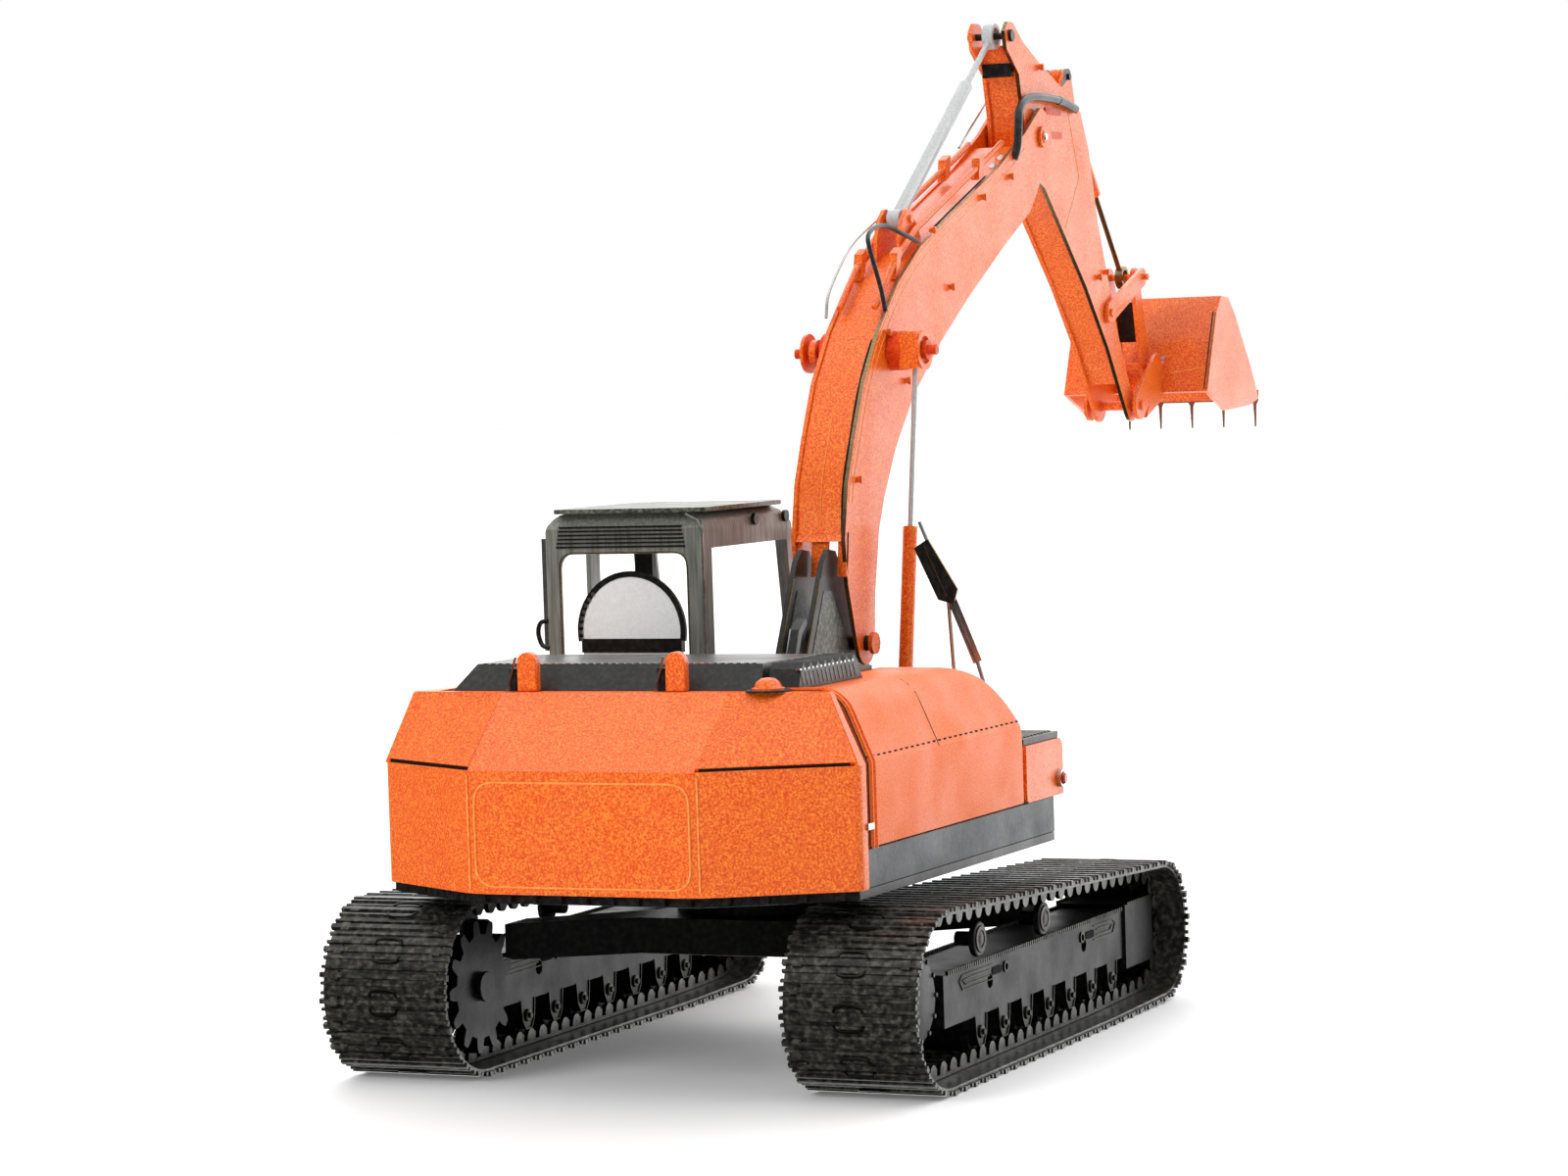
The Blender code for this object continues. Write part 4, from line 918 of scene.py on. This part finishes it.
def boom_lines():
    """The gap beside the back plate, its slot and centre line, the side's folds and two arched marks."""
    lines = Piece()
    back = smooth_2d(BOOM_BACK)
    lines.line([(BOOM_X - 1.56, y, z) for y, z in back if z < 45.5], OUTWARDS, 0.2, 0.03, 1)
    lines.line([(BOOM_X - 1.4, y, z) for y, z in back if -30.3 < y < -19.3], OUTWARDS, 0.34, 0.03, 1)
    lines.line([(BOOM_X, y, z) for y, z in back if z < 40], OUTWARDS, 0.08, 0.03)
    for inset in (0.35, 0.95):
        fold = offset_line(smooth_2d(RIGHT_REAR), -inset)
        lines.line([(BOOM_X - BOOM_HW, y, z) for y, z in fold[4:]], (-1, 0, 0), 0.1, 0.03)
    for x in (BOOM_X - 0.85, BOOM_X + 0.75):
        arch = [(x - 0.45, 32.75), (x - 0.45, 33.3)] + arc((x, 33.3), 0.45, 180, 0, 8) + [(x + 0.45, 32.75)]
        lines.line([(a, -1.78 - (z - 32.3) * 0.15, z) for a, z in arch], (0, 1, 0.15), 0.12, 0.04)
    lines.finish("boom_lines", "boom", [ETCH, HOLE_AND_SHADOW])


def boom_foot_strips():
    """Strips that carry the boom's back down beside and between the bracket's cheeks."""
    strips = Piece()
    section = [(-1.75, 32.4), (-1.35, 29.5), (-1.6, 29.5), (-2.0, 32.4)]
    for left, right in ((-BOOM_HW, -1.3), (-0.6, 0.6), (1.3, BOOM_HW)):
        strips.prism(section, BOOM_X + left, BOOM_X + right)
    strips.finish("boom_foot_strips", "boom", [ORANGE])


def boom_studs():
    studs = Piece()
    for y, z in ((-31.6, 57.3), (-33.2, 57.95)):
        studs.turned([(0, 0), (0, 0.3), (0.12, 0.26), (0.12, 0)], (BOOM_X - 1.3, y, z), OUTWARDS, 14)
    pin_end = (BOOM_X - 2.28, *pivot("arm_crowd"))
    studs.turned([(0, 0), (0, 0.3), (0.1, 0.25), (0.1, 0)], pin_end, (-1, 0, 0), 14)
    studs.finish("boom_studs", "boom", [STEEL])


def boom_pin_clamps():
    clamp = Piece()
    ring = [(0, 0.95), (0.22, 0.95), (0.22, 1.35), (0, 1.35), (0, 0.95)]
    for s in (-1, 1):
        clamp.turned(ring, (BOOM_X + s * 4.12, *BOOM_CYL_TOP), (s, 0, 0), 28)
    clamp.box((BOOM_X - 4.2, -9.5, 43.0), (BOOM_X - 2.9, -9.2, 45.5))
    clamp.finish("boom_pin_clamps", "boom", [ORANGE])


def tabs(piece, places, x):
    """Small twisted fastening tabs that stand out from a side plate."""
    wide, tall, thin, sections = 0.5, 0.45, 0.1, 4
    for y, z in places:
        rings = []
        for k in range(sections):
            a = radians(k * 28)
            across = Vector((0, wide / 2 * cos(a), wide / 2 * sin(a)))
            through = Vector((0, -thin * sin(a), thin * cos(a)))
            middle = Vector((x - k / (sections - 1) * tall, y, z))
            rings.append([middle - across + through, middle + across + through,
                          middle + across - through, middle - across - through])
        piece.rings(rings)


def boom_tabs():
    piece = Piece()
    places = [(-3.6, 35.8), (-9.4, 45.5), (-17.8, 52.5), (-27.5, 55.0), (-33.0, 56.6), (-12.5, 42.2),
              (-21.0, 48.6)]
    tabs(piece, places, BOOM_X - BOOM_HW + 0.05)
    piece.finish("boom_tabs", "boom", [ORANGE])


for side, cut in (("right", EDGE), ("left", ORANGE)):
    refined(f"boom_side_{side}", [ORANGE, cut], "x")
    refined(f"boom_pipe_{side}", [ORANGE])
    refined(f"boom_barrel_{side}", [ORANGE])
    refined(f"boom_rod_{side}", [BARREL, ORANGE], accent=near(BOOM_CYL_TOP, 1.1))
refined("boom_box", [ORANGE])
refined("boom_cylinder_pin", [DEEP])
refined("arm_pin", [ORANGE])
refined("arm_barrel", [BARREL])
refined("arm_rod", [BARREL])
refined("bucket_barrel", [ORANGE])
refined("bucket_rod", [EDGE])
boom_lines()
boom_foot_strips()
boom_studs()
boom_pin_clamps()
boom_tabs()


# ---------------------------------------------------------------- arm, linkage and bucket

BUCKET_HALF, WALL_WAY = 6.0, (0, 0.91, 0.41)
ARM_SIDE = BOOM_X - ARM_HW
TOOTH_PITCH, TOOTH_ROOT_Z, TOOTH_TIP_Z = 2.7, 39.5, 37.4


def arm_tabs():
    """Tabs and bars on the arm's right side, its fold line and the plate at its top."""
    piece = Piece()
    tabs(piece, [(-41.0, 64.9), (-47.9, 62.0), (-53.9, 49.9), (-52.3, 49.5)], ARM_SIDE + 0.05)
    for z in (61.75, 60.0):
        bar = rounded([(-45.2, z - 0.25), (-41.9, z - 0.25), (-41.9, z + 0.25), (-45.2, z + 0.25)], 0.2)
        piece.prism(bar, ARM_SIDE - 0.1, ARM_SIDE + 0.05, mat=1)
    fold = [(-46.9, 61.8), (-48.9, 57.0), (-45.7, 53.2)]
    piece.line([(ARM_SIDE, y, z) for y, z in fold], (-1, 0, 0), 0.1, 0.03, 2)
    piece.box((BOOM_X - 1.1, -36.6, 65.05), (BOOM_X + 1.1, -36.35, 66.3))
    piece.finish("arm_tabs", "arm", [ORANGE, DEEP, ETCH])


def arm_band():
    band = Piece()
    band.box((BOOM_X - 1.12, -36.7, 64.0), (BOOM_X + 1.12, -36.2, 65.0))
    band.finish("arm_band", "arm", [BLACK])


def bucket_seams():
    """Cut edge of the bucket's right side plate, a crease and a stud on its back sheet."""
    seams = Piece()
    edge = [(-64.22, 40.7), (-65.53, 43.72), (-66.93, 46.72)]
    for inset, mat in ((0.12, 0), (0.3, 1)):
        seams.line([(BOOM_X - BUCKET_HALF + inset, y, z) for y, z in edge], WALL_WAY, 0.13, 0.05, mat)
    seams.line([(-3.7, -64.78, 42.0), (-6.6, -64.95, 42.4)], WALL_WAY, 0.12, 0.04, 2)
    seams.turned([(0, 0), (0, 0.24), (0.06, 0.22), (0.06, 0)], (-2.9, -65.3, 43.2), WALL_WAY, 14, 3)
    seams.finish("bucket_seams", "bucket", [EDGE, BLACK, ETCH, STEEL])


def bucket_teeth():
    teeth = Piece()
    comb = [(BOOM_X + BUCKET_HALF, 40.4), (BOOM_X - BUCKET_HALF, 40.4)]
    for k in range(5):
        x = BOOM_X - BUCKET_HALF + 0.35 + k * TOOTH_PITCH
        half_widths = ((-0.3, TOOTH_ROOT_Z), (-0.14, 39.2), (-0.07, TOOTH_TIP_Z))
        comb += [(x + w, z) for w, z in half_widths] + [(x - w, z) for w, z in half_widths[::-1]]
    teeth.prism(comb, -77.33, -77.05, "y")
    teeth.finish("bucket_teeth_fine", "bucket", [STEEL], ["bucket_teeth"], bevel=0.02)


for side, cut in (("right", EDGE), ("left", ORANGE)):
    refined(f"arm_side_{side}", [ORANGE, cut], "x")
refined("arm_box", [ORANGE, BLACK], accent=near(BUCKET_CYL_BASE, 0.9))
refined("arm_cylinder_pin", [BLACK])
refined("rocker", [ORANGE])
refined("push_link", [ORANGE, BLACK], accent=lambda p: abs(p.x - BOOM_X) < 0.8 and p.z < 47.7)
refined("bucket", [ORANGE])
arm_tabs()
arm_band()
bucket_seams()
bucket_teeth()


# ---------------------------------------------------------------- hoses

BOOM_HOSE = [(-2.7, -9.9, 46.5), (-2.7, -9.1, 48.4), (-2.5, -7.9, 51.0), (-2.3, -8.1, 52.0),
             (-2.2, -9.6, 52.6), (-2.3, -11.4, 52.7), (-2.7, -13.1, 52.2), (-3.0, -15.0, 51.7)]
BOOM_WIRE = [(1.15, -8.5, 46.6), (1.2, -9.4, 48.5), (1.0, -12.6, 51.4), (0.6, -15.3, 52.9),
             (0.3, -16.4, 53.5)]
ARM_HOSE = [(-2.9, -34.0, 57.9), (-3.1, -34.2, 58.8), (-3.15, -34.4, 60.2), (-3.1, -34.8, 61.4),
            (-3.05, -36.4, 62.3), (-3.0, -39.3, 62.6), (-2.85, -44.4, 62.5), (-2.6, -47.8, 62.1)]
ARM_HOSE_END = [(-2.88, -43.4, 62.53), (-2.85, -44.4, 62.5), (-2.6, -47.8, 62.1)]
ARM_WIRE = [(1.2, -33.6, 58.9), (1.05, -35.2, 60.2), (0.9, -37.0, 61.5), (0.8, -38.7, 62.7)]


def cord(name, body, mat, points, r):
    """A hose or wire along a smooth line through its points."""
    piece = Piece()
    piece.tube(smooth_line(points), r)
    return piece.finish(name, body, [mat])


cord("boom_hose", "boom", RUBBER, BOOM_HOSE, 0.16)
cord("boom_wire", "boom", STEEL, BOOM_WIRE, 0.1)
cord("arm_hose_end", "arm", GREY, ARM_HOSE_END, 0.33)
arm_hose = cord("arm_hose", None, RUBBER, ARM_HOSE, 0.3)
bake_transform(arm_hose)
arm_wire = cord("arm_wire", None, STEEL, ARM_WIRE, 0.09)
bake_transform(arm_wire)


# ---------------------------------------------------------------- stage, light and camera

CAMERA_AT = Vector((-0.116526, 0.282143, 0.043062))
CAMERA_RIGHT = Vector((-0.911201, -0.410693, -0.032314))
CAMERA_UP = Vector((-0.008978, -0.058623, 0.998240))
FLOOR_HALF = 3


def world_ramp(tree, value, lo, hi, at_lo, at_hi):
    """A value's smooth step from at_lo, where it is lo, to at_hi, where it is hi."""
    node = tree.nodes.new("ShaderNodeMapRange")
    node.interpolation_type = "SMOOTHSTEP"
    for key, number in (("From Min", lo), ("From Max", hi), ("To Min", at_lo), ("To Max", at_hi)):
        node.inputs[key].default_value = number
    tree.links.new(value, node.inputs["Value"])
    return node.outputs["Result"]


def white_background(tree):
    node = tree.nodes.new("ShaderNodeBackground")
    node.inputs["Color"].default_value = (1, 1, 1, 1)
    return node


def studio_world():
    """A bright wall in front of the machine and a softbox above it, before a plain white backdrop."""
    world = bpy.data.worlds.new("studio")
    world.use_nodes = True
    tree = world.node_tree
    tree.nodes.clear()
    coords = tree.nodes.new("ShaderNodeTexCoord")
    split = tree.nodes.new("ShaderNodeSeparateXYZ")
    tree.links.new(coords.outputs["Generated"], split.inputs["Vector"])
    total = tree.nodes.new("ShaderNodeMath")
    total.operation = "ADD"
    tree.links.new(world_ramp(tree, split.outputs["Y"], -0.2, -0.85, 0.06, 2.1), total.inputs[0])
    tree.links.new(world_ramp(tree, split.outputs["Z"], 0.2, 0.95, 0.0, 1.2), total.inputs[1])
    glow = white_background(tree)
    tree.links.new(total.outputs["Value"], glow.inputs["Strength"])
    backdrop = white_background(tree)
    path = tree.nodes.new("ShaderNodeLightPath")
    mix = tree.nodes.new("ShaderNodeMixShader")
    out = tree.nodes.new("ShaderNodeOutputWorld")
    tree.links.new(path.outputs["Is Camera Ray"], mix.inputs["Fac"])
    tree.links.new(glow.outputs["Background"], mix.inputs[1])
    tree.links.new(backdrop.outputs["Background"], mix.inputs[2])
    tree.links.new(mix.outputs["Shader"], out.inputs["Surface"])
    return world


def pale_floor():
    mesh = bpy.data.meshes.new("floor")
    r = FLOOR_HALF
    mesh.from_pydata([(-r, -r, 0), (r, -r, 0), (r, r, 0), (-r, r, 0)], [], [(0, 1, 2, 3)])
    mat, _, shader = graph("floor_white", 0.6)
    shader.inputs["Base Color"].default_value = (0.93, 0.93, 0.93, 1)
    shader.inputs["Emission Color"].default_value = (1, 1, 1, 1)
    shader.inputs["Emission Strength"].default_value = 0.12
    mesh.materials.append(mat)
    obj = bpy.data.objects.new("floor", mesh)
    obj.visible_glossy = False
    return obj


def area_light(name, at, to, size, power):
    data = bpy.data.lights.new(name, "AREA")
    data.size, data.energy = size, power
    obj = bpy.data.objects.new(name, data)
    obj.location = at
    obj.rotation_euler = (Vector(to) - Vector(at)).to_track_quat("-Z", "Y").to_euler()
    obj.visible_glossy = False
    return obj


def photo_camera():
    """A long lens behind the machine and to its right, a little higher than the cab's roof."""
    data = bpy.data.cameras.new("camera")
    data.lens, data.sensor_width = 99.5, 36
    data.clip_start, data.clip_end = 0.01, 20
    obj = bpy.data.objects.new("camera", data)
    turn = Matrix((CAMERA_RIGHT, CAMERA_UP, CAMERA_RIGHT.cross(CAMERA_UP))).transposed().to_4x4()
    obj.matrix_world = Matrix.Translation(CAMERA_AT) @ turn
    return obj


scene = bpy.context.scene
scene.world = studio_world()
scene.view_settings.view_transform = "Standard"
ground = pale_floor()
key = area_light("key", (0.30, 0.70, 0.45), (0, 0, 0.03), 0.35, 2.9)
camera = photo_camera()
for obj in (ground, key, camera):
    scene.collection.objects.link(obj)
scene.camera = camera
